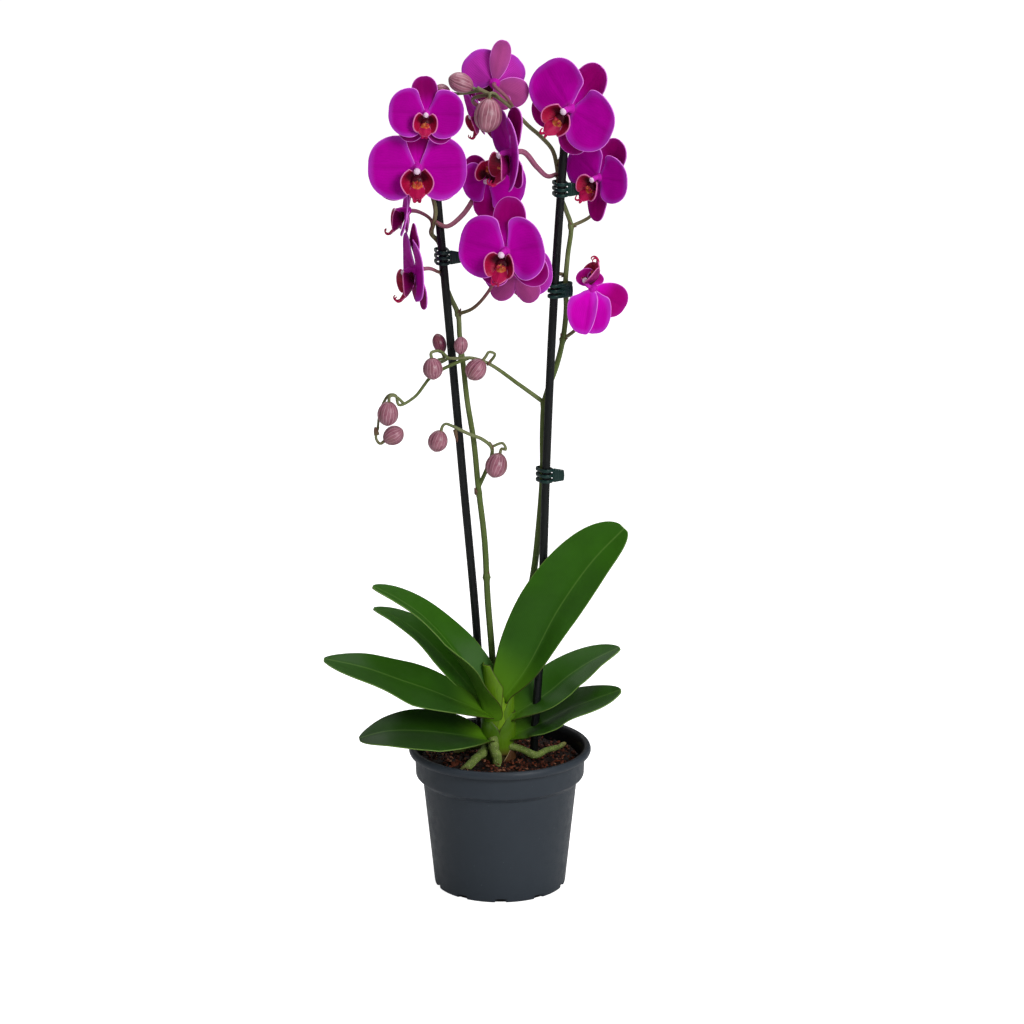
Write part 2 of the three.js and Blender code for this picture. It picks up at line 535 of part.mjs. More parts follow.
// A tepal is widest past its middle. Its pull draws the edges back towards the hub, as on a kidney.
function tepalPoint(form, turn, [longer, wider], cup, s, t) {
  const crest = form.a / (form.a + form.b);
  const peak = crest ** form.a * (1 - crest) ** form.b;
  const width = (wider * form.half * s ** form.a * (1 - s) ** form.b) / peak;
  const out = form.root + longer * form.reach * (s - form.pull * t * t * Math.sin(Math.PI * s));
  const rise = form.rise * (form.rise > 0 ? cup : 1);
  const lift = form.level + rise * s + form.bend * s * s + form.cup * cup * ((t * width) / form.half) ** 2;
  const angle = radians(turn);
  return new THREE.Vector3(
    out * Math.sin(angle) + t * width * Math.cos(angle),
    out * Math.cos(angle) - t * width * Math.sin(angle),
    lift,
  );
}

function hubCentre(frame) {
  return new THREE.Vector3(0, 0, HUB.level).applyMatrix4(frame);
}

// The lip hangs in its own frame: tilted like a wheel, turned to the side, and rolled about the way it faces.
function lipFrame(bloom) {
  return flowerFrame(bloom)
    .multiply(new THREE.Matrix4().makeRotationZ(radians(bloom.lipTilt ?? 0)))
    .multiply(new THREE.Matrix4().makeRotationY(radians(bloom.lipYaw ?? 0)))
    .multiply(new THREE.Matrix4().makeRotationZ(radians(bloom.lipRoll ?? 0)));
}

// Hub with the column that stands on it
function columnSolid(bloom, grow = 0) {
  const frame = lipFrame(bloom);
  const face = new THREE.Vector3(0, 0, 1).transformDirection(frame);
  const [deep, wide] = [HUB.depth, HUB.radius].map((length) => length * bloom.size + grow);
  const hub = egg(hubCentre(frame), face, deep, wide, BALL.hubAround, BALL.hubDown);
  const half = HUB.columnLength / 2;
  const route = [[0, 0, HUB.level], [0, HUB.columnBow, half], [0, HUB.columnDrop, HUB.columnLength]]
    .map((point) => vec(point).applyMatrix4(frame).toArray());
  const radius = HUB.column * bloom.size;
  return hub.add(taperedTube(route, [radius, HUB.taper * radius], TUBE.mainSides, half, grow));
}

function petalsSolid(bloom, grow = 0) {
  const frame = flowerFrame(bloom);
  const bodies = [columnSolid(bloom, grow)];
  for (const kind of Object.keys(TEPAL)) {
    const form = { ...TEPAL[kind], ...bloom[kind] };
    form.turns.forEach((turn, k) => {
      const scale = form.scales ? form.scales[k] : [1, 1];
      const widen = 1 + grow / form.half;
      const cup = bloom.cup ?? 1;
      const surface = (s, t) => tepalPoint(form, turn, scale, cup, s, t * widen).applyMatrix4(frame);
      const along = (s) => mix(BLADE.ends, 1 - BLADE.ends, Math.sin((s * Math.PI) / 2) ** CROWD);
      bodies.push(blade(surface, form.rows, form.columns, BLADE.thickness + 2 * grow, along));
    });
  }
  return joined(bodies);
}

// Lip: two side lobes stand up round the column as the walls of a bowl, and a tongue with two tendrils runs
// forward from the bowl.
function bowlPoint(angle, depth) {
  const polar = radians(depth);
  const around = radians(angle);
  const radius = LIP.bowl * Math.sin(polar);
  return new THREE.Vector3(
    radius * Math.sin(around),
    LIP.drop + radius * Math.cos(around),
    LIP.level + LIP.depth * (1 - Math.cos(polar)),
  );
}

function lipSolid(bloom) {
  const frame = lipFrame(bloom);
  const placed = (points) => points.map((point) => vec(point).applyMatrix4(frame).toArray());
  const bodies = [];
  for (const side of [-1, 1]) {
    const lobe = (s, t) => {
      const spread = LIP.lobeSpread * (1 - LIP.lobeNarrow * s * s) * t;
      return bowlPoint(side * (LIP.lobeTurn - LIP.lobeLean * s) + spread, mix(LIP.lobeFoot, LIP.lobeTop, s))
        .applyMatrix4(frame);
    };
    bodies.push(blade(lobe, 2, 2, LIP.thickness));
    const tendril = placed(LIP.tendril.map(([x, y, z]) => [side * x, y, z]));
    bodies.push(taperedTube(tendril, LIP.tendrilRadius, LIP.tendrilSides, LIP.tendrilStep));
  }
  const tongue = (s, t) => {
    const width = s < LIP.shoulder
      ? mix(LIP.tongueRoot, LIP.tongueHalf, (s / LIP.shoulder) ** 2)
      : mix(LIP.tongueHalf, LIP.tongueTip, (s - LIP.shoulder) / (1 - LIP.shoulder));
    return new THREE.Vector3(
      width * t,
      LIP.drop - LIP.tongue * s,
      LIP.level + LIP.tongueStep + LIP.tongueRise * s ** LIP.tongueCurl - LIP.tongueArch * t * t * s,
    ).applyMatrix4(frame);
  };
  bodies.push(blade(tongue, 3, 2, LIP.thickness));
  const claw = placed([[0, 0, LIP.level + 0.8], [0, LIP.drop - 1, LIP.level + 0.8]]);
  bodies.push(taperedTube(claw, LIP.clawRadius, TUBE.stalkSides, TUBE.branchStep));
  const lip = joined(bodies).subtract(columnSolid(bloom, CLEAR));
  const meets = lip.intersect(petalsSolid(bloom)).volume() > 0;
  return largest(meets ? lip.subtract(petalsSolid(bloom, CLEAR)) : lip);
}

// Bud: an egg with its wide end on the stalk.
function budSolid(bud, grow = 0) {
  return egg(vec(bud.at), vec(bud.tip), bud.long + grow, bud.wide + grow, BALL.budAround, BALL.budDown);
}

// Spike: its main stalk, branches, flower and bud stalks and the swollen nodes, all grown together.
function spikeSolid(name, grow = 0) {
  const spike = SPIKES[name];
  const tubes = [taperedTube(spike.main.path, spike.main.radius, TUBE.mainSides, TUBE.mainStep, grow)];
  const addStalk = (path, radius, step) => tubes.push(taperedTube(path, radius, TUBE.stalkSides, step, grow));
  for (const branch of spike.branches) addStalk(branch.path, branch.radius, TUBE.branchStep);
  const blooms = BLOOMS.filter((one) => one.spike === name);
  for (const bloom of blooms) {
    const frame = flowerFrame(bloom);
    const behind = new THREE.Vector3(0, 0, -STALK.behind).applyMatrix4(frame);
    const route = [...bloom.stalk, behind.toArray(), hubCentre(frame).toArray()];
    addStalk(route, [STALK.flower, STALK.flower], TUBE.bloomStep);
  }
  const buds = BUDS.filter((one) => one.spike === name);
  for (const bud of buds) {
    const tip = vec(bud.tip).normalize();
    const behind = vec(bud.at).addScaledVector(tip, -bud.long - STALK.budBehind);
    addStalk([...bud.stalk, behind.toArray(), bud.at], [STALK.bud, STALK.bud], TUBE.budStep);
  }
  const addKnob = (at, axis, long, wide) => {
    tubes.push(egg(vec(at), axis, long + grow, wide + grow, BALL.nodeAround, BALL.nodeDown));
  };
  for (const node of spike.nodes) addKnob(node, UP, NODE.long, NODE.wide);
  for (const bract of spike.bracts) addKnob(bract.at, vec(bract.tip), bract.long, bract.wide);
  let solid = joined(tubes);
  for (const bloom of blooms) solid = solid.subtract(petalsSolid(bloom, CLEAR));
  for (const bud of buds) solid = solid.subtract(budSolid(bud, CLEAR));
  return largest(solid.subtract(stemSolid(CLEAR)));
}

// Clip: three rings that wrap a stick and its spike, with the two squeeze tabs side by side.
function pointAtHeight(points, z) {
  const curve = new THREE.CatmullRomCurve3(points.map(vec), false, 'centripetal');
  let low = 0;
  let high = 1;
  while (high - low > FINE ** 3) {
    const middle = (low + high) / 2;
    if (curve.getPoint(middle).z < z) low = middle;
    else high = middle;
  }
  return curve.getPoint(low);
}

function clipSolid(clip) {
  const stick = pointAtHeight(STICKS[clip.stick], clip.z);
  const stalk = pointAtHeight(SPIKES[clip.spike].main.path, clip.z);
  const from = new THREE.Vector2(stick.x, stick.y);
  const reach = new THREE.Vector2(stalk.x, stalk.y).sub(from);
  const turn = Math.atan2(reach.y, reach.x);
  const outline = (radius) => {
    const shape = new THREE.Shape();
    shape.absarc(0, 0, radius, Math.PI / 2, (3 * Math.PI) / 2, false);
    shape.absarc(reach.length(), 0, radius, -Math.PI / 2, Math.PI / 2, false);
    return shape;
  };
  const bodies = [];
  for (let k = 0; k < CLIP.rings; k++) {
    const shape = outline(CLIP.bore + CLIP.band);
    shape.holes.push(new THREE.Path(outline(CLIP.bore).getPoints(CLIP.arc).reverse()));
    const options = { depth: CLIP.height, bevelEnabled: false, curveSegments: CLIP.arc };
    const ring = new THREE.ExtrudeGeometry(shape, options);
    ring.translate(0, 0, (k - (CLIP.rings - 1) / 2) * CLIP.pitch - CLIP.height / 2);
    ring.rotateZ(turn);
    ring.translate(stick.x, stick.y, clip.z);
    bodies.push(solidFrom(ring));
  }
  const span = CLIP.pitch * (CLIP.rings - 1) + CLIP.height;
  const tab = new THREE.BoxGeometry(CLIP.tab, CLIP.tabThickness, span);
  tab.translate(stick.x + CLIP.bore + (CLIP.band + CLIP.tab) / 2, stick.y, clip.z);
  bodies.push(solidFrom(tab));
  return joined(bodies);
}

function stickSolid(points, grow = 0) {
  const [foot, ...rest] = points.map(vec);
  foot.z -= grow;
  const extrudePath = new THREE.CatmullRomCurve3([foot, ...rest], false, 'centripetal');
  const round = new THREE.Shape();
  round.absarc(0, 0, STICK.radius + grow, 0, 2 * Math.PI, false);
  const options = { steps: STICK.steps, curveSegments: STICK.segments, extrudePath };
  return solidFrom(new THREE.ExtrudeGeometry(round, options));
}

function rootSolid(root, grow = 0) {
  const rest = root.path.slice(0, -1);
  const [x, y, z] = root.path.at(-1);
  return taperedTube([...rest, [x, y, z - grow]], root.radius, TUBE.rootSides, TUBE.rootStep, grow);
}

// Finishes
const finish = (color, roughness) => new THREE.MeshStandardMaterial({ color, roughness, metalness: 0 });
const FINISH = {
  pot: finish(0x3e4850, 0.6),
  mix: finish(0x50301f, 0.95),
  stem: finish(0x5f8c1c, 0.5),
  leaf: finish(0x2f5f1a, 0.35),
  root: finish(0x8fa070, 0.8),
  stick: finish(0x10181a, 0.5),
  clip: finish(0x0f3630, 0.4),
  spike: finish(0x5c6b32, 0.5),
  petal: finish(0xb000a8, 0.55),
  lip: finish(0x9c0a3c, 0.5),
  bud: finish(0xa8647c, 0.5),
};

const orchid = new THREE.Group();

function place(name, solid, material) {
  const mesh = new THREE.Mesh(geometryFrom(solid), material);
  mesh.name = name;
  orchid.add(mesh);
}

// Each piece is cut clear of the pieces that stand before it in this list of grown cutters.
const stem = stemSolid();
const stemRoom = stemSolid(CLEAR);
const stickRoom = Object.values(STICKS).map((points) => stickSolid(points, CLEAR));
const rootRoom = ROOTS.map((root) => rootSolid(root, CLEAR));
const spikeRoom = Object.keys(SPIKES).map((name) => spikeSolid(name, CLEAR));

let bark = mixSolid().subtract(stemRoom);
for (const cutter of [...stickRoom, ...rootRoom]) bark = bark.subtract(cutter);

place('pot', potSolid(), FINISH.pot);
place('substrate', largest(bark), FINISH.mix);
place('stem', stem, FINISH.stem);
LEAVES.forEach((leaf, k) => {
  let solid = leafSolid(leaf).subtract(stemRoom);
  for (const cutter of [...stickRoom, ...spikeRoom]) solid = solid.subtract(cutter);
  for (const cutter of rootRoom) solid = solid.subtract(cutter);
  for (const inner of LEAVES.slice(0, k)) solid = solid.subtract(leafSolid(inner, CLEAR));
  place(`leaf_${k + 1}`, largest(solid), FINISH.leaf);
});
ROOTS.forEach((root, k) => place(`root_${k + 1}`, largest(rootSolid(root).subtract(stemRoom)), FINISH.root));
for (const [name, points] of Object.entries(STICKS)) place(name, stickSolid(points), FINISH.stick);
CLIPS.forEach((clip, k) => place(`clip_${k + 1}`, clipSolid(clip), FINISH.clip));
for (const name of Object.keys(SPIKES)) place(name, spikeSolid(name), FINISH.spike);
BLOOMS.forEach((bloom, k) => {
  place(`bloom_${k + 1}_petals`, petalsSolid(bloom), FINISH.petal);
  place(`bloom_${k + 1}_lip`, lipSolid(bloom), FINISH.lip);
});
BUDS.forEach((bud, k) => place(`bud_${k + 1}`, budSolid(bud), FINISH.bud));

export default orchid;
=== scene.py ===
# %% [markdown]
# # A moth orchid in its nursery pot
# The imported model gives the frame: every node of the plant, in metres, with +Z up and the plant facing -Y.
# Each cell below swaps some of those plain solids for finer surfaces of the same form and size. A surface
# is worked out as whole arrays with numpy, because a grid of points says more clearly than a list of clicks
# how a petal or a leaf is shaped, and the same few formulas then serve thirteen blooms and seven leaves.

import bpy
import numpy as np
from mathutils import Matrix


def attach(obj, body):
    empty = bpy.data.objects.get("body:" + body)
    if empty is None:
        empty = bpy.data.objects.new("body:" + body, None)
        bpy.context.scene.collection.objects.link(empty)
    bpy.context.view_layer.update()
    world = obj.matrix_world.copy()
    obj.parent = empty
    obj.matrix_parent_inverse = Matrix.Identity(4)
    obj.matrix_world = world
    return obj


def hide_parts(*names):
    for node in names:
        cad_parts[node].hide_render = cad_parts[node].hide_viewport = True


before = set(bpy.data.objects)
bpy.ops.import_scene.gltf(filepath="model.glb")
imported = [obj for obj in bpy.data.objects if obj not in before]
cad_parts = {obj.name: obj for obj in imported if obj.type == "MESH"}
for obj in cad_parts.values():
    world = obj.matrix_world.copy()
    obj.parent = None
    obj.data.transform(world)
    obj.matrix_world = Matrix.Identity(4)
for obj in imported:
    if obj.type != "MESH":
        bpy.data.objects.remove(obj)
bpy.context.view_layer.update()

# %% [markdown]
# ## Small tools for arrays
# The plant's sizes are in millimetres, as in the solid model, and become metres only when a mesh is made.
# Its shapes are put together from a few curves: a soft step, a bell, a quarter circle and long waves. The
# rows and columns of a grid lie closest together where a surface bends most.

# %% Curves and grids
MM = 0.001
UP = np.array([0.0, 0.0, 1.0])


def unit(v):
    """Each vector over its length."""
    return v / np.maximum(np.linalg.norm(v, axis=-1, keepdims=True), 1e-9)


def smooth_step(low, high, x):
    """0 below low, 1 above high, and the S-shaped 3t^2 - 2t^3 between them."""
    t = np.clip((x - low) / (high - low), 0, 1)
    return t * t * (3 - 2 * t)


def bell(x, width):
    """exp(-(x / width)^2): 1 at 0, and next to nothing two widths away."""
    return np.exp(-((x / width) ** 2))


def quarter_round(distance, reach):
    """A quarter circle: 0 at a margin, rising to 1 at that reach inside it."""
    return np.sqrt(1 - (1 - np.clip(distance / reach, 0, 1)) ** 2)


def soft_waves(waves, s, t, phases):
    """The sum of high sin(a s + b t + phase), where each wave gives its high, a and b."""
    return sum(high * np.sin(a * s + b * t + phase) for (high, a, b), phase in zip(waves, phases))


def foot_to_tip(count, power=1.0):
    """Numbers from 0 to 1 by a sine to a power, closest together at 1."""
    return np.sin(np.linspace(0, 1, count) * np.pi / 2) ** power


def side_to_side(count):
    """Numbers from -1 to 1 by a sine, closest together at both ends, where a margin bends most."""
    return np.sin(np.linspace(-1, 1, count) * np.pi / 2)


def full_turn(count):
    """That many even angles from 0 up to a full turn."""
    return np.linspace(0, 2 * np.pi, count, endpoint=False)


def grid(*values):
    """Values that fit one grid of rows and columns, side by side at each of its points."""
    return np.stack(np.broadcast_arrays(*values), -1)


print("five columns lie at", side_to_side(5).round(2))

# %% [markdown]
# A stalk needs a smooth path through a few points. A Bezier curve object could do it, but a formula gives
# the points themselves, which later cells use to seat clips and bracts. The centripetal Catmull-Rom curve
# passes through every point without loops, and points that are even in length keep the faces even.
# Directions across a path are carried along it, so that a tube doesn't wring.

# %% Paths, frames and faces
ASKEW = np.array([0.31, 0.9, 0.23])
STEPS_PER_GAP = 24


def smooth_path(points, count):
    """Centripetal Catmull-Rom: a gap's share of time is the root of its length. The samples are even."""
    p = np.asarray(points, float)
    p = np.vstack([2 * p[0] - p[1], p, 2 * p[-1] - p[-2]])
    gap = np.sqrt(np.linalg.norm(np.diff(p, axis=0), axis=1))[:, None]
    g0, g1, g2 = gap[:-2], gap[1:-1], gap[2:]
    x0, x1, x2, x3 = p[:-3], p[1:-2], p[2:-1], p[3:]
    m1 = ((x1 - x0) / g0 - (x2 - x0) / (g0 + g1) + (x2 - x1) / g1) * g1
    m2 = ((x2 - x1) / g1 - (x3 - x1) / (g1 + g2) + (x3 - x2) / g2) * g1
    t = np.linspace(0, 1, STEPS_PER_GAP, endpoint=False)[:, None, None]
    h00, h10, h01, h11 = 2 * t**3 - 3 * t**2 + 1, t**3 - 2 * t**2 + t, 3 * t**2 - 2 * t**3, t**3 - t**2
    dense = (h00 * x1 + h10 * m1 + h01 * x2 + h11 * m2).transpose(1, 0, 2).reshape(-1, 3)
    dense = np.vstack([dense, p[-2]])
    length = np.concatenate([[0], np.cumsum(np.linalg.norm(np.diff(dense, axis=0), axis=1))])
    even = np.linspace(0, length[-1], count)
    return np.stack([np.interp(even, length, dense[:, k]) for k in range(3)], axis=1)


def carried_frames(path):
    """The path's tangents, and two directions across it that turn no more than the path does. The first one
    comes from a direction askew, which no stalk starts along."""
    along = unit(np.gradient(path, axis=0))
    across = np.empty_like(path)
    side = np.cross(along[0], ASKEW)
    for ring, tangent in enumerate(along):
        side = unit(side - (side @ tangent) * tangent)
        across[ring] = side
    return along, across, np.cross(along, across)


def quads(rows, columns, around=False):
    """Corner numbers of the faces between a grid's points, closed round its columns if asked."""
    i, j = np.meshgrid(np.arange(rows - 1), np.arange(columns if around else columns - 1), indexing="ij")
    k = (j + 1) % columns
    corners = [i * columns + j, i * columns + k, (i + 1) * columns + k, (i + 1) * columns + j]
    return np.stack(corners, -1).reshape(-1, 4)


print("paths of", STEPS_PER_GAP, "steps between two points")

# %% [markdown]
# ## From arrays to a piece
# A patch is a grid's points, its faces, a place on the surface (u, v) for each point and some values that
# the material reads. Most pieces are several patches, such as five tepals and a column, that grow as one
# body. The points go into the mesh in one call, and every face is smooth.

# %% Patches and pieces
made = {"pieces": 0, "faces": 0}


def patch(points, faces, uv=None, **values):
    """One part of a piece. points may keep its grid shape. A value is one number, or one for each point."""
    points = np.asarray(points, float).reshape(-1, 3)
    count = len(points)
    uv = np.zeros((count, 2)) if uv is None else np.asarray(uv, float).reshape(-1, 2)
    values = {name: np.broadcast_to(np.asarray(v, float).ravel(), (count,)) for name, v in values.items()}
    return {"points": points, "faces": faces, "uv": uv, "values": values}


def linked(name, data):
    """A new object in the scene, at the origin."""
    ready = bpy.data.objects.new(name, data)
    bpy.context.scene.collection.objects.link(ready)
    return ready


def piece(name, patches, finish, nodes):
    """Joins patches into one smooth mesh at the origin that rides on the body and stands for the nodes.
    Where a face closes a turn, from u near 1 back to u = 0, its low corners get u + 1, so that no pattern is
    squeezed into it."""
    starts = np.cumsum([0] + [len(p["points"]) for p in patches])
    faces = []
    for part, start in zip(patches, starts):
        for corners in part["faces"]:
            faces += (corners + start).tolist()
    mesh = bpy.data.meshes.new(name)
    mesh.from_pydata((np.vstack([p["points"] for p in patches]) * MM).tolist(), [], faces)
    corner = np.empty(len(mesh.loops), np.int32)
    mesh.loops.foreach_get("vertex_index", corner)
    uv = np.vstack([p["uv"] for p in patches])[corner].astype(np.float32)
    face = np.repeat(np.arange(len(faces)), [len(f) for f in faces])
    furthest = np.zeros(len(faces), np.float32)
    np.maximum.at(furthest, face, uv[:, 0])
    uv[:, 0] += uv[:, 0] < furthest[face] - 0.5
    mesh.uv_layers.new(name="surface").data.foreach_set("uv", uv.ravel())
    for value in sorted({n for p in patches for n in p["values"]}):
        row = np.concatenate([p["values"].get(value, np.zeros(len(p["points"]))) for p in patches])
        mesh.attributes.new(value, "FLOAT", "POINT").data.foreach_set("value", row.astype(np.float32))
    mesh.polygons.foreach_set("use_smooth", np.ones(len(mesh.polygons), bool))
    mesh.materials.append(finish)
    mesh.update()
    ready = linked(name, mesh)
    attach(ready, "root")
    if nodes:
        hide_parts(*nodes)
    made["pieces"] += 1
    made["faces"] += len(mesh.polygons)


print("patches join into pieces that ride on the body")

# %% [markdown]
# ## Blades, tubes and closed turns
# Nearly every surface here is one of three things: a thin blade such as a leaf or petal, a tube such as a
# root or stalk, or a closed turn such as the pot or a bud. A blade could be a sheet with a Solidify
# modifier, but then its margin would be cut off square, and here it has to thin out to nothing.

# %% Blades
def blade(surface, half, s, t, **values):
    """A thin closed body: each point of the grid moves half a thickness both ways along the surface's
    normal. The two sides share the rim's points, so half should run out to nothing there. s runs along the
    blade from 0 to 1 and t across it from -1 to 1."""
    rows, columns = surface.shape[:2]
    normal = unit(np.cross(np.gradient(surface, axis=0), np.gradient(surface, axis=1)))
    inner = np.zeros((rows, columns), bool)
    inner[1:-1, 1:-1] = True
    under = np.arange(rows * columns).reshape(rows, columns)
    under[inner] = rows * columns + np.arange(inner.sum())
    half = np.where(inner, half, 0)[..., None]
    front = quads(rows, columns)
    twice = {"back": np.concatenate([np.zeros(rows * columns), np.ones(inner.sum())])}
    for name, value in values.items():
        value = np.broadcast_to(value, (rows, columns))
        twice[name] = np.concatenate([value.ravel(), value[inner]])
    points = np.vstack([(surface + half * normal).reshape(-1, 3), (surface - half * normal)[inner]])
    uv = grid((t + 1) / 2, s)
    uv = np.vstack([uv.reshape(-1, 2), uv[inner]])
    return patch(points, [front[:, ::-1], under.ravel()[front]], uv, **twice)


print("blades ready")

# %% [markdown]
# A tube is a ring of points carried along a path, and a closed turn is a stack of whole rings. A fan of
# triangles round a single point shuts each end.

# %% Tubes and closed turns
def tube(path, radius, sides, cap=0.3, **values):
    """Rings round a path, centre + r (cos a side + sin a up). A point that stands out by cap times the
    radius closes each end."""
    path = np.asarray(path, float)
    rows = len(path)
    radius = np.broadcast_to(np.asarray(radius, float), (rows,))
    along, side, up = carried_frames(path)
    a = full_turn(sides)
    ring = np.cos(a)[None, :, None] * side[:, None] + np.sin(a)[None, :, None] * up[:, None]
    points = (path[:, None] + radius[:, None, None] * ring).reshape(-1, 3)
    ends = np.stack([path[0] - cap * radius[0] * along[0], path[-1] + cap * radius[-1] * along[-1]])
    j, foot, top = np.arange(sides), rows * sides, rows * sides + 1
    last = (rows - 1) * sides
    faces = [quads(rows, sides, around=True),
             np.stack([np.full(sides, foot), (j + 1) % sides, j], -1),
             np.stack([np.full(sides, top), last + j, last + (j + 1) % sides], -1)]
    uv = grid(a / (2 * np.pi), np.linspace(0, 1, rows)[:, None]).reshape(-1, 2)
    uv = np.vstack([uv, [[0.5, 0], [0.5, 1]]])
    grown = {}
    for name, value in values.items():
        row = np.broadcast_to(value, (rows,))
        grown[name] = np.concatenate([np.repeat(row, sides), row[[0, -1]]])
    return patch(np.vstack([points, ends]), faces, uv, **grown)


def closed_turn(points, uv=None, **values):
    """A grid whose rows are whole rings and whose first and last rows are single points on the axis."""
    rows, columns = points.shape[:2]
    uv = np.zeros((rows, columns, 2)) if uv is None else uv
    keep = np.concatenate([[0], np.arange(columns, (rows - 1) * columns), [(rows - 1) * columns]])
    j = np.arange(columns)
    last = 1 + (rows - 3) * columns
    faces = [quads(rows - 2, columns, around=True) + 1,
             np.stack([np.zeros(columns, int), (j + 1) % columns + 1, j + 1], -1),
             np.stack([np.full(columns, last + columns), last + j, last + (j + 1) % columns], -1)]
    picked = {n: np.broadcast_to(v, (rows, columns)).ravel()[keep] for n, v in values.items()}
    return patch(points.reshape(-1, 3)[keep], faces, uv.reshape(-1, 2)[keep], **picked)


print("tubes and closed turns ready")

# %% [markdown]
# ## Small tools for materials
# A material is a small network of nodes. A few helpers keep it readable: one adds a node and fills its
# sockets with values or links, and the others are the sums and patterns that the finishes use most.

# %% Nodes, sums and patterns
def colour(red, green, blue):
    """A screen colour from 0 to 255, as linear light."""
    c = np.array([red, green, blue]) / 255
    return (*np.where(c <= 0.04045, c / 12.92, ((c + 0.055) / 1.055) ** 2.4).tolist(), 1.0)


def fill(tree, node, inputs):
    """Sets each input to its value, links it to a socket, or to the mesh's own value of that name."""
    for name, value in inputs.items():
        if isinstance(value, str):
            value = add(tree, "Attribute", attribute_name=value, attribute_type="GEOMETRY").outputs["Fac"]
        if isinstance(value, bpy.types.NodeSocket):
            tree.links.new(value, node.inputs[name])
        else:
            node.inputs[name].default_value = value


def add(tree, kind, inputs=None, **settings):
    """A node of that kind, with its settings made and its inputs filled."""
    node = tree.nodes.new("ShaderNode" + kind)
    for name, value in settings.items():
        setattr(node, name, value)
    fill(tree, node, inputs or {})
    return node


def math(tree, operation, *values, clamp=False):
    """The result of one sum."""
    return add(tree, "Math", dict(enumerate(values)), operation=operation, use_clamp=clamp).outputs[0]


def times(tree, first, *others):
    """The product of two or more values."""
    for other in others:
        first = math(tree, "MULTIPLY", first, other)
    return first


def noise(tree, vector, scale, detail, **inputs):
    """Soft clouds of values round 0.5, about as many to the metre as the scale says."""
    inputs.update(Vector=vector, Scale=scale, Detail=detail)
    return add(tree, "TexNoise", inputs).outputs["Fac"]


def swing(tree, value, amount):
    """How far a value is from 0.5, times the amount."""
    return times(tree, math(tree, "SUBTRACT", value, 0.5), amount)


def between(tree, value, low, high):
    """0 where the value is at low, 1 at high, and an S between them."""
    inputs = {"Value": value, "From Min": low, "From Max": high, "To Min": 0.0, "To Max": 1.0}
    return add(tree, "MapRange", inputs, interpolation_type="SMOOTHSTEP").outputs["Result"]


print("nodes, sums and patterns ready")

# %% [markdown]
# Other helpers mix colours, start a material and build a node group. What several finishes share, such as
# soft mottling, veins, speckles and a fine grain, is a group, built once and placed with its own numbers in
# each material.

# %% Colours, groups and materials
def blended(tree, factor, a, b):
    """Colour a, going to colour b as the factor rises."""
    return add(tree, "Mix", {0: factor, 6: a, 7: b}, data_type="RGBA", clamp_factor=True).outputs[2]


def brightened(tree, shade, gain):
    """A colour times a number."""
    return add(tree, "VectorMath", {0: shade, 1: gain}, operation="MULTIPLY").outputs["Vector"]


def ramp(tree, value, stops):
    """The colour that the stops give, from one position to the next, where the value lies from 0 to 1."""
    node = add(tree, "ValToRGB", {"Fac": value})
    elements = node.color_ramp.elements
    elements.remove(elements[1])
    for at, shade in stops.items():
        element = elements[0] if at == 0 else elements.new(at)
        element.color = colour(*shade)
    return node.outputs["Color"]


def group(name, inputs, outputs):
    """A node group with those sockets, a label and a kind each: (tree, what comes in, its output node)."""
    tree = bpy.data.node_groups.new(name, "ShaderNodeTree")
    for direction, sockets in (("INPUT", inputs), ("OUTPUT", outputs)):
        for label, kind in sockets.items():
            tree.interface.new_socket(label, in_out=direction, socket_type="NodeSocket" + kind)
    return tree, tree.nodes.new("NodeGroupInput").outputs, tree.nodes.new("NodeGroupOutput")


def place(tree, made_group, inputs):
    """One use of a node group in a material. Its outputs are read by name."""
    return add(tree, "Group", inputs, node_tree=made_group).outputs


def material(name, **constants):
    """(A new material, its tree, its Principled shader). Constants go on the shader's own sockets."""
    new = bpy.data.materials.new(name)
    new.use_nodes = True
    shader = new.node_tree.nodes["Principled BSDF"]
    for socket, value in constants.items():
        shader.inputs[socket.replace("_", " ").title().replace("Ior", "IOR")].default_value = value
    return new, new.node_tree, shader


print("colours, groups and materials ready")

# %% [markdown]
# ## Shared effects
# Mottling makes a colour drift lighter and darker over a few millimetres, as all living tissue does. Veins
# are thin lines that run along a petal or leaf and wander a little: a sine across the surface, sharpened,
# whose phase a noise pushes about. Speckles are small spots at random, and grain is a fine bump and gloss
# change.

# %% Node groups that several materials use
MOTTLE, given, out = group(
    "mottle", dict(Vector="Vector", Colour="Color", Patch="Float", Amount="Float"),
    dict(Colour="Color", Mask="Float"),
)
broad = noise(MOTTLE, given["Vector"], given["Patch"], 4.0, Roughness=0.6)
gain = math(MOTTLE, "MULTIPLY_ADD", swing(MOTTLE, broad, given["Amount"]), 2.0, 1.0)
fill(MOTTLE, out, {"Colour": brightened(MOTTLE, given["Colour"], gain), "Mask": broad})

VEINS, given, out = group(
    "veins", dict(Across="Float", Along="Float", Count="Float", Wander="Float", Width="Float"),
    dict(Line="Float"),
)
stretched = {0: times(VEINS, given["Across"], 5.0), 1: times(VEINS, given["Along"], 2.2)}
clouds = noise(VEINS, add(VEINS, "CombineXYZ", stretched).outputs[0], 1.0, 3.0)
push = swing(VEINS, clouds, times(VEINS, given["Wander"], given["Count"]))
phase = math(VEINS, "MULTIPLY_ADD", given["Across"], given["Count"], push)
crest = math(VEINS, "ABSOLUTE", math(VEINS, "SINE", times(VEINS, phase, np.pi)))
fill(VEINS, out, {"Line": between(VEINS, crest, given["Width"], 0.0)})

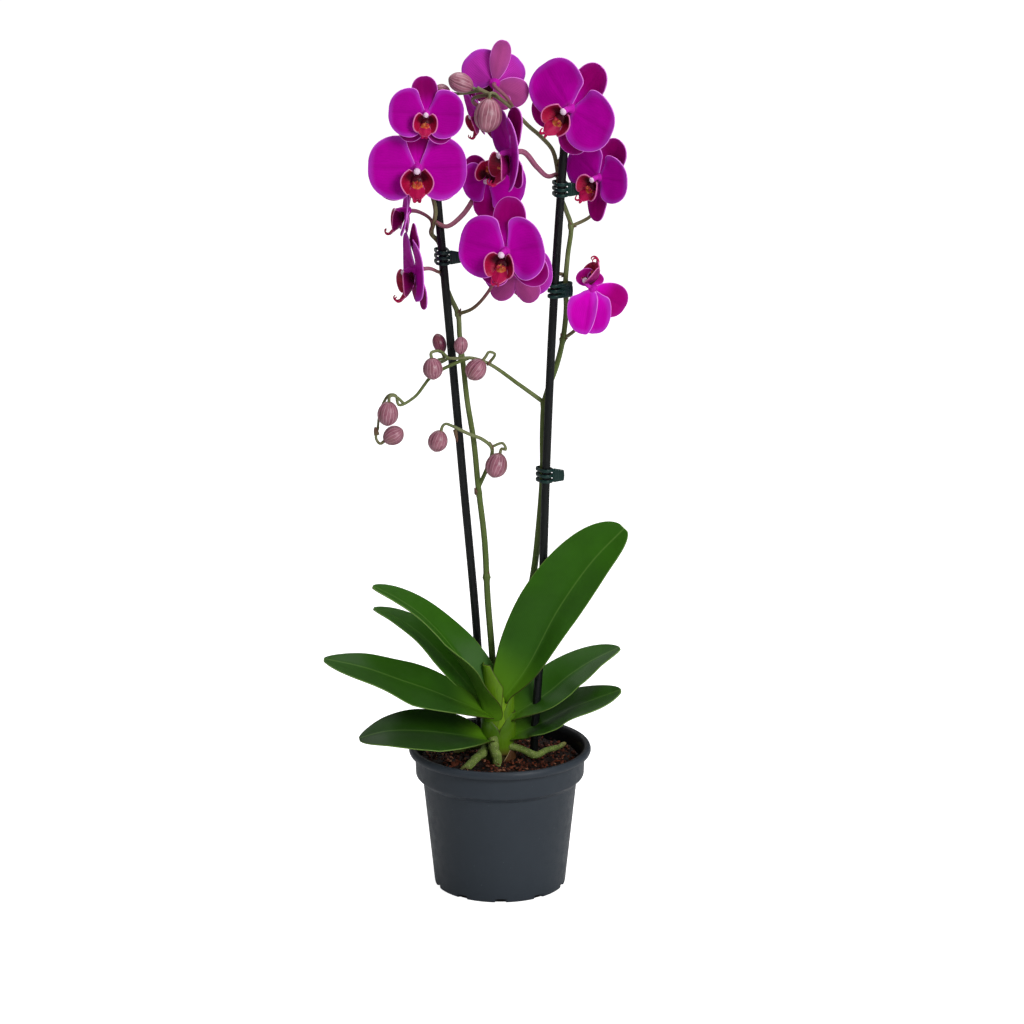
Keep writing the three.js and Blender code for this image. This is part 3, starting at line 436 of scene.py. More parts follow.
SPECKLE, given, out = group(
    "speckle", dict(Vector="Vector", Scale="Float", Size="Float"), dict(Mask="Float", Tone="Float"),
)
cells = add(SPECKLE, "TexVoronoi", {"Vector": given["Vector"], "Scale": given["Scale"]}).outputs
tone = add(SPECKLE, "SeparateColor", {"Color": cells["Color"]}).outputs[0]
fill(SPECKLE, out, {"Mask": between(SPECKLE, cells["Distance"], given["Size"], 0.0), "Tone": tone})

GRAIN, given, out = group(
    "grain", dict(Vector="Vector", Scale="Float", Gloss="Float", Change="Float"),
    dict(Height="Float", Roughness="Float"),
)
fine = noise(GRAIN, given["Vector"], given["Scale"], 2.0)
wide = noise(GRAIN, given["Vector"], times(GRAIN, given["Scale"], 0.12), 3.0)
both = math(GRAIN, "ADD", times(GRAIN, fine, 0.5), times(GRAIN, wide, 0.5))
drift = swing(GRAIN, both, given["Change"])
gloss = math(GRAIN, "MULTIPLY_ADD", drift, 4.0, given["Gloss"], clamp=True)
fill(GRAIN, out, {"Height": fine, "Roughness": gloss})
print("node groups:", [g.name for g in bpy.data.node_groups])

# %% [markdown]
# With the groups made, each finish says the same few things: where a point is, what pattern lies there,
# which coats of colour go over each other, and how the skin shines and stands up. A mask can be a pattern
# or a value that the mesh carries, such as the distance to the margin.

# %% What every finish uses
def position(tree):
    """Where a point is in space, in metres."""
    return add(tree, "TexCoord").outputs["Object"]


def on_surface(tree):
    """(u, v): where a point is across and along its own surface."""
    return add(tree, "SeparateXYZ", {0: add(tree, "UVMap", uv_map="surface").outputs[0]}).outputs[:2]


def mottled(tree, spot, shade, patches, amount):
    """The shade, lighter and darker by up to about the amount, in so many patches to the metre."""
    inputs = {"Vector": spot, "Colour": shade, "Patch": patches, "Amount": amount}
    return place(tree, MOTTLE, inputs)["Colour"]


def veined(tree, across, along, count, wander, width):
    """1 on lines that run along, count of them side by side, and 0 between them."""
    inputs = {"Across": across, "Along": along, "Count": count, "Wander": wander, "Width": width}
    return place(tree, VEINS, inputs)["Line"]


def speckled(tree, spot, scale, size):
    """Spots: a Mask that is 1 in their middles, and a Tone, one random number for each."""
    return place(tree, SPECKLE, {"Vector": spot, "Scale": scale, "Size": size})


def coated(tree, base, *coats):
    """The base colour under coats, each a mask, a strength and a screen colour, laid on in turn."""
    for mask, strength, shade in coats:
        factor = mask if strength == 1 else times(tree, mask, strength)
        base = blended(tree, factor, base, colour(*shade))
    return base


def dress(tree, shader, base, spot, grain, relief=0.0, raised=None, share=1.0, duller=None):
    """Links the colour and a grain's roughness and bump. grain is its scale, gloss and change, and relief
    the millimetres that a height of 1 stands for. raised is a pattern that stands up share times as high as
    the grain, and duller is added to the roughness."""
    scale, gloss, change = grain
    skin = place(tree, GRAIN, {"Vector": spot, "Scale": scale, "Gloss": gloss, "Change": change})
    rough = skin["Roughness"] if duller is None else math(tree, "ADD", skin["Roughness"], duller)
    height = skin["Height"]
    if raised is not None:
        height = math(tree, "MULTIPLY_ADD", raised, share, height)
    fill(tree, shader, {"Base Color": base, "Roughness": rough})
    if relief:
        bump = add(tree, "Bump", {"Height": height, "Distance": relief * MM, "Strength": 1.0})
        fill(tree, shader, {"Normal": bump.outputs["Normal"]})


print("finish helpers ready")

# %% [markdown]
# ## The pot
# A nursery pot is blown or moulded from thin plastic: a tapered wall, a step where the collar starts, a
# rolled rim, and small drainage notches round the foot. It could be a spun curve with bevels, but a profile
# whose corners are rounded by a formula gives the same soft edges with rings where they are needed. The
# notches are dents: the angles of a ring repeat from notch to notch, closest together at its sides, and
# between those, below its height, the wall is drawn in.

# %% Pot profile and surface
POT = dict(
    height=96, rim=60.5, collar=56.3, step=51, foot=43.4, collar_foot=76, step_height=72, rim_foot=90.6,
    wall=1.3, longest=3.2,
)
NOTCH = dict(count=10, half_angle=4.6, height=2.6, deep=2.6, shift=-89.28)


def rounded(corners, radii, steps=5):
    """Each corner c becomes (1-t)^2 a + 2t(1-t) c + t^2 b, with a and b one radius before and after it."""
    p, r = np.asarray(corners, float), np.asarray(radii, float)[:, None]
    a = p[1:-1] - r * unit(p[1:-1] - p[:-2])
    b = p[1:-1] + r * unit(p[2:] - p[1:-1])
    t = np.linspace(0, 1, steps)[:, None, None]
    bent = ((1 - t) ** 2 * a + 2 * t * (1 - t) * p[1:-1] + t**2 * b).transpose(1, 0, 2).reshape(-1, 2)
    return np.vstack([p[:1], bent, p[-1:]])


def refined(profile, longest):
    """Adds points evenly wherever two neighbours are further apart than longest."""
    parts = [np.linspace(a, b, max(1, int(np.ceil(np.linalg.norm(b - a) / longest))), endpoint=False)
             for a, b in zip(profile[:-1], profile[1:])]
    return np.vstack([*parts, profile[-1:]])


bore = POT["collar"] - POT["wall"]
pot_corners = [
    ((0, 1.2), 0), ((34, 1.2), 0.8), ((36.5, 0), 0.8), ((POT["foot"], 0), 1.6),
    ((POT["foot"] + 0.16, 2.4), 0.05), ((POT["foot"] + 0.3, 2.9), 0.1),
    ((POT["step"] - 0.4, POT["step_height"] - 4), 0.4), ((POT["step"], POT["step_height"]), 0.7),
    ((POT["collar"] - 0.6, POT["collar_foot"]), 1.1), ((POT["collar"], POT["rim_foot"]), 0.7),
    ((POT["rim"] - 0.9, POT["rim_foot"] + 0.1), 0.4), ((POT["rim"], POT["rim_foot"] + 2), 1.0),
    ((POT["rim"] - 0.9, POT["height"] - 0.6), 1.2), ((POT["rim"] - 2.4, POT["height"]), 0.8),
    ((bore + 1, POT["height"] - 0.9), 0.8), ((bore, POT["rim_foot"] + 1.6), 1.2),
    ((bore - 0.8, POT["collar_foot"] + 1), 1.0), ((POT["step"] - 1.3, POT["step_height"] - 0.2), 1.0),
    ((POT["foot"] - 1.3, 6), 1.0), ((0, 6), 0),
]
profile = refined(rounded([c for c, _ in pot_corners], [r for _, r in pot_corners[1:-1]]), POT["longest"])
period = np.array([-18, -15, -12, -9, -6.6, -5.2, -4.6, -2.3, 0, 2.3, 4.6, 5.2, 6.6, 9, 12, 15])
pitch = 360 / NOTCH["count"]
angle = np.radians((np.arange(NOTCH["count"])[:, None] * pitch + period + NOTCH["shift"]).ravel())
from_notch = np.abs(np.tile(period, NOTCH["count"]))
r, z = np.repeat(profile[:, :1], len(angle), 1), np.repeat(profile[:, 1:], len(angle), 1)
dented = (from_notch <= NOTCH["half_angle"]) & (z < NOTCH["height"])
r = np.where(dented, np.minimum(r, POT["foot"] - NOTCH["deep"]), r)
pot_points = np.stack([r * np.cos(angle), r * np.sin(angle), z], -1)
# Masks for painted shade, both painted near black: the inside of the pot, and the dents of the notches.
inside = np.repeat((np.arange(len(profile)) > np.argmax(profile[:, 1]))[:, None], len(angle), 1)
hole = (from_notch < NOTCH["half_angle"]) & (z < NOTCH["height"] - 0.1)
print("pot:", pot_points.shape[0], "rings of", pot_points.shape[1])

# %% [markdown]
# The plastic is a flat slate grey with the fine skin of a matt mould. Dust and handling leave it a little
# lighter in soft patches, and the outside has faint level lines from its moulding. The inner wall is painted
# almost black, as painted shade in the pot's mouth, and the dents of the notches round the foot are painted
# black, as painted shade where the real notches open.

# %% Pot plastic
pot_plastic, tree, shader = material("slate_plastic", specular_ior_level=0.22)
spot = position(tree)
dust = speckled(tree, spot, 420.0, 0.16)
sparse = times(tree, dust["Mask"], between(tree, dust["Tone"], 0.9, 0.95))
# The last two coats are painted shade: the inside of the pot nearly black, the notch dents black.
base = coated(tree, mottled(tree, spot, colour(52, 59, 67), 28.0, 0.09), (sparse, 0.35, (128, 134, 138)),
              ("inside", 0.9, (9, 10, 12)), ("hole", 1, (3, 3, 4)))
level = add(tree, "CombineXYZ", {2: add(tree, "SeparateXYZ", {0: spot}).outputs[2]}).outputs[0]
dress(tree, shader, base, spot, (1500.0, 0.43, 0.2), 0.05, noise(tree, level, 900.0, 1.0), 0.5)
piece("pot_shell", [closed_turn(pot_points, inside=inside, hole=hole)], pot_plastic, ["pot"])
print("pot dressed:", made)

# %% [markdown]
# ## The bark mix
# Orchids grow in chips of bark and coco, not in earth. From above it is a loose heap of angular crumbs,
# with some strands. A bed follows the solid's waves, and well over a thousand chips lie on it. One chip is
# a small lattice box, pressed towards a rounded block and then dented at random. All the chips are made in
# one go: the lattice's points are an array, and each chip has its own size, turn and place.

# %% Bed, chips and strands
MIX = dict(level=85.5, relief=1.8, crumbs=0.45, radius=53.0, foot=80.0, rings=44, spokes=110, chips=1500,
           strands=46, free_rim=1.5)
WAVES = np.array([[0.31, 0.17, 0.4], [-0.22, 0.41, 1.7], [0.53, -0.37, 2.9], [0.11, 0.63, 4.1]])
rng = np.random.default_rng(7)
CRUMBS = np.column_stack([rng.normal(0, 1.1, (24, 2)), rng.uniform(0, 6.3, 24)])


def mix_height(x, y):
    """The level plus the mean of four long sines, as in the solid, plus a little of many short ones."""
    long_waves = sum(np.sin(kx * x + ky * y + p) for kx, ky, p in WAVES) / len(WAVES)
    short_waves = sum(np.sin(kx * x + ky * y + p) for kx, ky, p in CRUMBS) / np.sqrt(len(CRUMBS))
    return MIX["level"] + MIX["relief"] * long_waves + MIX["crumbs"] * short_waves


rings = np.concatenate([[0], np.linspace(0.8, MIX["radius"], MIX["rings"]), [MIX["radius"]], [0]])[:, None]
spokes = full_turn(MIX["spokes"])
x, y = rings * np.cos(spokes), rings * np.sin(spokes)
bed = grid(x, y, mix_height(x, y))
bed[-2:, :, 2] = MIX["foot"]
bed = closed_turn(bed[::-1])
print("bed:", len(rings), "rings of", MIX["spokes"])

# %% [markdown]
# The chips are scattered over the bed, except where the stem stands. A few are larger, each lies at its own
# slant, and some stand a little proud of the rest.

# %% Chips
CHIP = dict(long=(0.7, 2.0), wide=(0.5, 1.3), thick=(0.3, 0.8), large=1.35, small=0.85, share_large=0.1,
            rounding=0.55, dents=(0.72, 1.15), slant=0.55, lift=(-0.4, 1.5))
STEM_HOLE = dict(x=-1, half_width=11, half_depth=9)


def lattice_block():
    """The outside of a 3 x 3 x 3 lattice, with the faces between its points."""
    axis = np.array([-1, 0, 1])
    p = np.stack(np.meshgrid(axis, axis, axis, indexing="ij"), -1).reshape(-1, 3)
    outer = np.abs(p).max(1) == 1
    number = np.cumsum(outer) - 1
    step = np.array([9, 3, 1])
    corners = np.array([[0, 0], [1, 0], [1, 1], [0, 1]])
    cells = np.array([[0, 0], [0, 1], [1, 0], [1, 1]])[:, None] + corners
    faces = []
    for k, (a, b) in enumerate([(1, 2), (2, 0), (0, 1)]):
        low = cells[..., 0] * step[a] + cells[..., 1] * step[b]
        faces += [number[low + 2 * step[k]], number[low][:, ::-1]]
    return p[outer].astype(float), np.vstack(faces)


def turned_at_random(count, rng, slant):
    """Rotation matrices whose third column leans away from straight up, by about the slant."""
    third = unit(np.column_stack([rng.normal(0, slant, (count, 2)), np.ones(count)]))
    spin = rng.uniform(0, 2 * np.pi, count)
    first = np.column_stack([np.cos(spin), np.sin(spin), np.zeros(count)])
    second = unit(np.cross(third, first))
    return np.stack([np.cross(second, third), second, third], -1)


block, block_faces = lattice_block()
away = np.sqrt(rng.uniform(0, 1, MIX["chips"])) * (MIX["radius"] - MIX["free_rim"])
turn = rng.uniform(0, 2 * np.pi, MIX["chips"])
x, y = away * np.cos(turn), away * np.sin(turn)
clear = ((x - STEM_HOLE["x"]) / STEM_HOLE["half_width"]) ** 2 + (y / STEM_HOLE["half_depth"]) ** 2 > 1
x, y = x[clear], y[clear]
count, corners = len(x), len(block)
size = grid(*(rng.uniform(*CHIP[way], count) for way in ("long", "wide", "thick")))
large = rng.uniform(0, 1, count) < CHIP["share_large"]
size *= np.where(large, CHIP["large"], CHIP["small"])[:, None]
shape = block / np.linalg.norm(block, axis=1, keepdims=True) ** CHIP["rounding"]
shape = shape[None] * size[:, None] * rng.uniform(*CHIP["dents"], (count, corners, 3))
shape = np.einsum("nij,nvj->nvi", turned_at_random(count, rng, CHIP["slant"]), shape)
lift = mix_height(x, y) + rng.uniform(*CHIP["lift"], count)
chip_faces = (block_faces[None] + corners * np.arange(count)[:, None, None]).reshape(-1, 4)
tone = np.repeat(rng.uniform(0, 1, count), corners)
chips = patch(shape + grid(x, y, lift)[:, None], [chip_faces], tone=tone)
print("chips:", count)

# %% [markdown]
# A strand of coco is a thin tube. Its heading turns evenly on the way, so it curls as a fibre does.

# %% Strands
STRAND = dict(reach=(12, 48), bend=1.4, long=(4, 11), above=1.0, arch=1.3, arch_share=(0.2, 1), girth=0.18,
              points=9, sides=4, tone=(0.5, 1))


def strand_patch(rng):
    """A thin tube that starts at random on the bed, bends evenly, and arches up a little in its middle."""
    start = rng.uniform(0, 2 * np.pi)
    centre = rng.uniform(*STRAND["reach"]) * np.array([np.cos(start), np.sin(start)])
    bend, long = rng.normal(0, STRAND["bend"]), rng.uniform(*STRAND["long"])
    t = np.linspace(0, 1, STRAND["points"])
    heading = rng.uniform(0, 2 * np.pi) + bend * t
    flat = centre + np.cumsum(grid(np.cos(heading), np.sin(heading)), 0) * long / len(t)
    arch = STRAND["arch"] * np.sin(np.pi * t) * rng.uniform(*STRAND["arch_share"])
    rise = mix_height(*flat.T) + STRAND["above"] + arch
    flat *= np.minimum(1, (MIX["radius"] - MIX["free_rim"]) / np.linalg.norm(flat, axis=1))[:, None]
    return tube(np.column_stack([flat, rise]), STRAND["girth"] * (1.2 - t), STRAND["sides"],
                tone=rng.uniform(*STRAND["tone"]))


strands = [strand_patch(rng) for _ in range(MIX["strands"])]
print("strands:", len(strands))

# %% [markdown]
# Wet bark is a dark red-brown, and chips that have dried on top are tan. Each chip carries a number, its
# tone, which a colour ramp turns into one of these, and a noise gives every chip its fibres.

# %% Bark colours
bark, tree, shader = material("bark", specular_ior_level=0.3)
spot = position(tree)
shade = ramp(tree, "tone", {0.0: (24, 10, 6), 0.35: (58, 24, 12), 0.6: (92, 42, 22), 0.82: (102, 48, 28),
                            0.93: (164, 114, 88), 1.0: (88, 40, 24)})
base = place(tree, MOTTLE, {"Vector": spot, "Colour": shade, "Patch": 420.0, "Amount": 0.8})
dress(tree, shader, base["Colour"], spot, (1600.0, 0.82, 0.3), 0.25, base["Mask"])
piece("bark_bed", [bed], bark, ["substrate"])
piece("bark_chips", [chips, *strands], bark, [])
print("bark dressed:", made)

# %% [markdown]
# ## The leaves
# A moth orchid's leaf is thick, stiff and folded along its midrib, which is a groove above and a keel
# below. It could be sculpted, but one formula serves all seven: a midrib path, a half width on each side,
# how far the blade rolls about the midrib and how steeply its halves fold up. The crease is rounded near
# the midrib, the margins thin out, and long soft waves keep the surface from looking machined. A tone, one
# gain for each leaf, is painted light and shade: leaves that catch the light are lighter, low ones darker.

# %% Leaf shapes
# tone is painted light and shade: each leaf's green times it, above 1 where a leaf catches light, below 1 in
# shade.
LEAVES = [
  dict(midrib=[[2, -5, 128], [18, -5, 150], [39, -5, 191], [61, -1, 222], [82, 4, 243]],
    half=[16, 27], roll=[62, 64, 48], fold=[32, 20, 10], foot=[0.6, 0.38], tip=0.42, tone=1.2),
  dict(midrib=[
    [-9, -6, 112], [-13, -6, 129], [-19, -4, 143], [-27, -2, 155], [-39, 1, 170], [-53, 3, 184],
    [-69, 4, 195], [-84, 4, 203],
  ],
    half=[19, 16], roll=[0, -9, -12], fold=[76, 26, 12], foot=[0.3, 0.12], tip=0.5, tone=1.25),
  dict(midrib=[[-7, 4, 112], [-20, 8, 131], [-34, 12, 147], [-54, 16, 167], [-69, 18, 177], [-84, 18, 184]],
    half=[15, 15], roll=[-20, -20, -10], fold=[30, 18, 12], tone=1.7),
  dict(midrib=[
    [-6, -6, 117], [-25, -12, 127], [-46, -18, 138], [-67, -22, 147], [-88, -26, 156], [-115, -28, 163],
  ],
    half=[18, 27], roll=[-18, -26, -14], fold=[24, 13, 8], foot=[0.5, 0.42], tone=0.85),
  dict(midrib=[[-8, -7, 100], [-32, -22, 109], [-53, -30, 114], [-74, -34, 115], [-92, -36, 111]],
    half=[22, 28], roll=[-14, -18, -12], fold=[30, 10, 6], foot=[0.4, 0.5], tone=0.7),
  dict(midrib=[[3, 3, 110], [18, 5, 119], [33, 10, 128], [46, 14, 138], [61, 18, 147], [80, 20, 156]],
    half=[21, 20], roll=[18, 18, 8], fold=[30, 14, 10]),
  dict(midrib=[[5, -1, 100], [18, 3, 104], [32, 1, 111], [46, -3, 120], [61, -8, 128], [80, -10, 136]],
    half=[26, 21], roll=[16, 18, 12], fold=[26, 12, 6], tone=0.75),
]
LEAF = dict(
    thickness=1.8, foot=[0.5, 0.5], tip=0.56, sheath=0.34, reach=0.9965, furrow=1.2, ridge=0.35, keel=0.45,
    margin=0.6, tip_margin=60, crowding=1.15, waves=[(0.55, 7, 1.8), (0.35, 13, -2.4)],
)
print("leaf shapes:", len(LEAVES))

# %% [markdown]
# A leaf's width rises from its foot and falls to its tip as powers of the way along it. Near the stem it is
# never narrower than its sheath.

# %% Leaf surfaces
def along_values(values, s):
    """Straight from the first value at 0 to the second at the middle and the third at 1."""
    return np.interp(s, [0, 0.5, 1], values)


def leaf_width(leaf, s, t):
    """s^foot (1-s)^tip over its own peak, or the sheath's width where that is more."""
    shape = {**LEAF, **leaf}
    tip = shape["tip"]
    foot = np.where(t < 0, *shape["foot"])
    crest = foot / (foot + tip)
    body = s**foot * (1 - s) ** tip / (crest**foot * (1 - crest) ** tip)
    return np.maximum(body, LEAF["sheath"] * np.maximum(0, 1 - 2 * s))


def leaf_patch(leaf, seed, rows=84, columns=33):
    """centre(s) + w t cos(fold) across + w |t| sin(fold) normal, with across and normal rolled about the
    midrib. |t| is rounded near 0, so that the crease is a furrow."""
    s = LEAF["reach"] * foot_to_tip(rows, LEAF["crowding"])
    t = side_to_side(columns)
    fine = smooth_path(leaf["midrib"], 400)
    centre = np.stack([np.interp(s, np.linspace(0, 1, 400), fine[:, k]) for k in range(3)], 1)
    along = unit(np.gradient(centre, s, axis=0))
    up = unit(UP - (along @ UP)[:, None] * along)
    side = np.cross(up, along)
    s = s[:, None]
    roll, fold = (np.radians(along_values(leaf[key], s)) for key in ("roll", "fold"))
    across = side * np.cos(roll) + up * np.sin(roll)
    normal = up * np.cos(roll) - side * np.sin(roll)
    outline = leaf_width(leaf, s, t[None])
    width = np.where(t < 0, *leaf["half"])[None] * outline
    w = width * np.abs(t)
    crease = np.sqrt(w**2 + LEAF["furrow"] ** 2) - LEAF["furrow"] + LEAF["ridge"] * bell(w, 1.1)
    phases = np.random.default_rng(seed).uniform(0, 2 * np.pi, len(LEAF["waves"]))
    wave = soft_waves(LEAF["waves"], s, t, phases)
    surface = centre[:, None] + (w * np.sign(t) * np.cos(fold))[..., None] * across[:, None]
    surface += (crease * np.sin(fold) + wave * t**2 * outline)[..., None] * normal[:, None]
    edge = np.minimum(width - w, (1 - s) * LEAF["tip_margin"])
    half = 0.5 * LEAF["thickness"] * (0.45 + 0.55 * (1 - t**2)) * quarter_round(edge, LEAF["margin"])
    half = half + LEAF["keel"] * bell(w, 1.6) * (1 - s)
    # tone goes with the points as the leaf's painted light and shade.
    return blade(surface, half, s, t, edge=edge, rib=w, foot=s, tone=leaf.get("tone", 1))


print("a leaf has", len(leaf_patch(LEAVES[0], 0)["points"]), "points")

# %% [markdown]
# The upper side is a deep, waxy green with a paler midrib and very fine lines along the blade. The pale line
# of the midrib is partly the rib's own colour and partly a painted highlight in its groove. Under the leaf
# the green is duller. The margin is a pale green thread that darkens to purple-brown towards the stem, and
# the foot of each leaf is yellow-green where it was shaded in the fan. Each leaf's green is also times its
# tone, which is painted light and shade.

# %% Leaf finish
leaf_skin, tree, shader = material("waxy_leaf", specular_ior_level=0.18)
spot, (u, v) = position(tree), on_surface(tree)
green = mottled(tree, spot, blended(tree, "back", colour(40, 84, 8), colour(62, 96, 30)), 38.0, 0.34)
lines = veined(tree, u, v, 46.0, 0.02, 0.5)
# Times tone: painted light and shade, one gain for each leaf.
green = coated(tree, brightened(tree, green, "tone"), (lines, 0.14, (74, 122, 34)),
               # Paler midrib line: partly the rib's own colour, partly a painted highlight in its groove.
               (between(tree, "rib", 0.9, 0.1), 0.4, (104, 142, 64)),
               (between(tree, "foot", 0.3, 0.0), 0.8, (92, 142, 12)))
margin = blended(tree, between(tree, "foot", 0.4, 0.1), colour(112, 146, 66), colour(52, 30, 14))
base = blended(tree, times(tree, between(tree, "edge", 0.6, 0.2), 0.8), green, margin)
dress(tree, shader, base, spot, (220.0, 0.36, 0.05), 0.015, lines, 1.2,
      duller=times(tree, between(tree, "foot", 0.5, 0.1), 0.3))
for k, leaf in enumerate(LEAVES):
    piece(f"leaf_blade_{k + 1}", [leaf_patch(leaf, k)], leaf_skin, [f"leaf_{k + 1}"])
print("leaves:", len(LEAVES), made)

# %% [markdown]
# ## The stem and its sheaths
# The stem is hidden by the feet of the leaves. Each wraps the one inside it, from the left and the right in
# turn, so that at the front their margins cross in a row of Vs. A plain core carries them, and each sheath
# is a shell round it that reaches past the front at its foot and opens towards its own leaf higher up.

# %% Core and sheaths
CORE = dict(foot=60, top=129, half_width=9.5, half_depth=7.5, taper=0.18, x=-1)
SHEATH = dict(half=0.45, margin=0.8, side_margin=14, belly=0.7, flare=1.4, dried_foot=3.5)
SHEATHS = [
    dict(side=0, foot=86, top=100, out=2.3, spread=(72, 48, 20), dry=1.0, fresh=0.0),
    dict(side=180, foot=84, top=102, out=1.7, spread=(100, 84, 50), dry=0.35, fresh=0.0),
    dict(side=0, foot=90, top=112, out=1.6, spread=(108, 104, 50), dry=0.0, fresh=0.35, old_foot=1.0),
    dict(side=180, foot=98, top=119, out=1.9, spread=(112, 92, 36), dry=0.0, fresh=0.15),
    dict(side=0, foot=98, top=119, out=1.6, spread=(96, 84, 40), dry=0.0, fresh=0.25),
    dict(side=180, foot=98, top=141, out=0.7, spread=(160, 155, 76), dry=0.0, fresh=1.0),
    dict(side=180, foot=106, top=152, out=1.5, spread=(84, 104, 112, 50), dry=0.0, fresh=0.6),
    dict(side=0, foot=108, top=132, out=1.2, spread=(60, 70, 30), dry=0.0, fresh=0.4),
]


def core_surface(angle, z, out=0.0):
    """The oval of the core at that height, grown by out: half width along X and half depth along Y."""
    taper = 1 - CORE["taper"] * (z - CORE["foot"]) / (CORE["top"] - CORE["foot"])
    x = CORE["x"] + (CORE["half_width"] * taper + out) * np.cos(angle)
    return grid(x, (CORE["half_depth"] * taper + out) * np.sin(angle), z)


def sheath_patch(sheath, rows=30, columns=45):
    """A strip of the core's surface, turned to its side by spread t, that bulges out in the middle and leans
    out at its top. Its margin is a quarter circle."""
    s, t = np.linspace(0, 1, rows)[:, None], side_to_side(columns)[None]
    spread = np.interp(s, np.linspace(0, 1, len(sheath["spread"])), sheath["spread"])
    tall = sheath["top"] - sheath["foot"]
    bulge = sheath["out"] * (1 - 0.25 * t**4) + SHEATH["belly"] * np.sin(np.pi * s) * (1 - 0.5 * t**2)
    bulge = bulge + SHEATH["flare"] * s**3 * (1 - t**2)
    surface = core_surface(np.radians(sheath["side"] - spread * t), sheath["foot"] + tall * s, bulge)
    edge = np.minimum((1 - s) * tall, (1 - np.abs(t)) * SHEATH["side_margin"])
    half = SHEATH["half"] * quarter_round(edge, SHEATH["margin"])
    dry = np.maximum(sheath["dry"], sheath.get("old_foot", 0) * (1 - SHEATH["dried_foot"] * s))
    return blade(surface, half, s, t, edge=edge, foot=s, fresh=sheath["fresh"], dry=dry)


z = np.concatenate([[CORE["foot"]], np.linspace(CORE["foot"], CORE["top"], 24), [CORE["top"]]])[:, None]
core = core_surface(full_turn(40), z)
core[[0, -1], :, :2] = [CORE["x"], 0]
stem_parts = [closed_turn(core, foot=0.2), *(sheath_patch(sheath) for sheath in SHEATHS)]
print("stem parts:", len(stem_parts))

# %% [markdown]
# A sheath is green to yellow-green with fine lines along it and a dark thread at its margin. The lowest one
# has dried to brown paper, whose edge is cream.

# %% Sheath finish
stem_skin, tree, shader = material("leaf_sheath", specular_ior_level=0.4)
spot, (u, v) = position(tree), on_surface(tree)
living = mottled(tree, spot, blended(tree, "fresh", colour(66, 108, 10), colour(124, 168, 12)), 70.0, 0.3)
living = coated(tree, living, (between(tree, "foot", 0.6, 0.0), 0.45, (112, 152, 30)))
paper = mottled(tree, spot, colour(94, 60, 34), 160.0, 0.6)
lines = veined(tree, u, v, 40.0, 0.03, 0.5)
base = coated(tree, blended(tree, "dry", living, paper), (lines, 0.2, (48, 84, 14)))
thread = blended(tree, "dry", colour(62, 34, 24), colour(196, 176, 132))
base = blended(tree, times(tree, between(tree, "edge", 0.75, 0.2), 0.85), base, thread)
dress(tree, shader, base, spot, (900.0, 0.4, 0.15), 0.1, lines)
piece("stem_sheaths", stem_parts, stem_skin, ["stem"])
print("stem dressed:", made)

# %% [markdown]
# ## The roots
# Thick roots leave the stem through the sheaths and dive into the bark. Their spongy skin is silvery green,
# pitted and slightly lumpy. Each is a tube whose radius swells and shrinks along it.

# %% Roots
ROOTS = [
  dict(radius=[3.5, 3.0], path=[[-5, -9, 103], [-4, -12, 98], [-2, -14, 90], [-1, -15, 80]]),
  dict(radius=[2.8, 3.0], path=[[-9, -6, 95], [-14, -15, 92], [-22, -24, 87], [-25, -27, 81]]),
  dict(radius=[2.7, 1.5],
    path=[[6, -5, 96], [14, -6, 94], [23, -5, 90], [31, 3, 90], [39, 15, 89], [44, 25, 87.5]]),
  dict(radius=[2.4, 1.6], path=[[-8, 4, 95], [-20, 10, 90], [-31, 11, 86]]),
]
ROOT = dict(lumps=(9, 17, 31), lump=0.05, sways=14, sway=0.25, rounded_from=0.93, rounded_over=0.075)


def root_patch(root, seed, rows=60, sides=26):
    """A tube along a path that sways a little. Its radius runs between two values, times 1 plus small sines,
    and rounds off at the end as the root of 1 - x^2."""
    rng = np.random.default_rng(seed)
    t = np.linspace(0, 1, rows)
    lumps = ROOT["lump"] * sum(np.sin(k * t + rng.uniform(0, 6.3)) for k in ROOT["lumps"])
    sway = ROOT["sway"] * np.stack([np.sin(ROOT["sways"] * t + rng.uniform(0, 6.3)) for _ in range(3)], 1)
    end = np.clip((t - ROOT["rounded_from"]) / ROOT["rounded_over"], 0, 1)
    radius = np.interp(t, [0, 1], root["radius"]) * (1 + lumps) * np.sqrt(1 - end**2)
    return tube(smooth_path(root["path"], rows) + sway, radius, sides, along=t)


print("roots:", len(ROOTS))

# %% [markdown]
# A root's skin soaks up water through its pits and shows pale round them. Dirt sticks to it, and its lower
# end, among the bark, is browner.

# %% Root finish
root_skin, tree, shader = material("root_velamen", specular_ior_level=0.35)
spot = position(tree)
pits = speckled(tree, spot, 900.0, 0.5)["Mask"]
dirt = between(tree, noise(tree, spot, 130.0, 5.0), 0.58, 0.68)
base = coated(tree, mottled(tree, spot, colour(116, 138, 62), 300.0, 0.9), (pits, 0.65, (206, 214, 150)),
              (dirt, 0.6, (84, 72, 36)), (between(tree, "along", 0.75, 1.0), 0.6, (150, 120, 82)))
dress(tree, shader, base, spot, (1200.0, 0.75, 0.2), 0.4, pits)
for k, root in enumerate(ROOTS):
    piece(f"aerial_root_{k + 1}", [root_patch(root, 40 + k)], root_skin, [f"root_{k + 1}"])
print("roots dressed:", made)

# %% [markdown]
# ## The support sticks
# Two sticks carry the spikes. They are thin bamboo or wire in a dark green-black coating, straight to the
# eye but pulled into a slight bow by the plant. The solid has flat sides, this one is round, and its top
# end is domed.

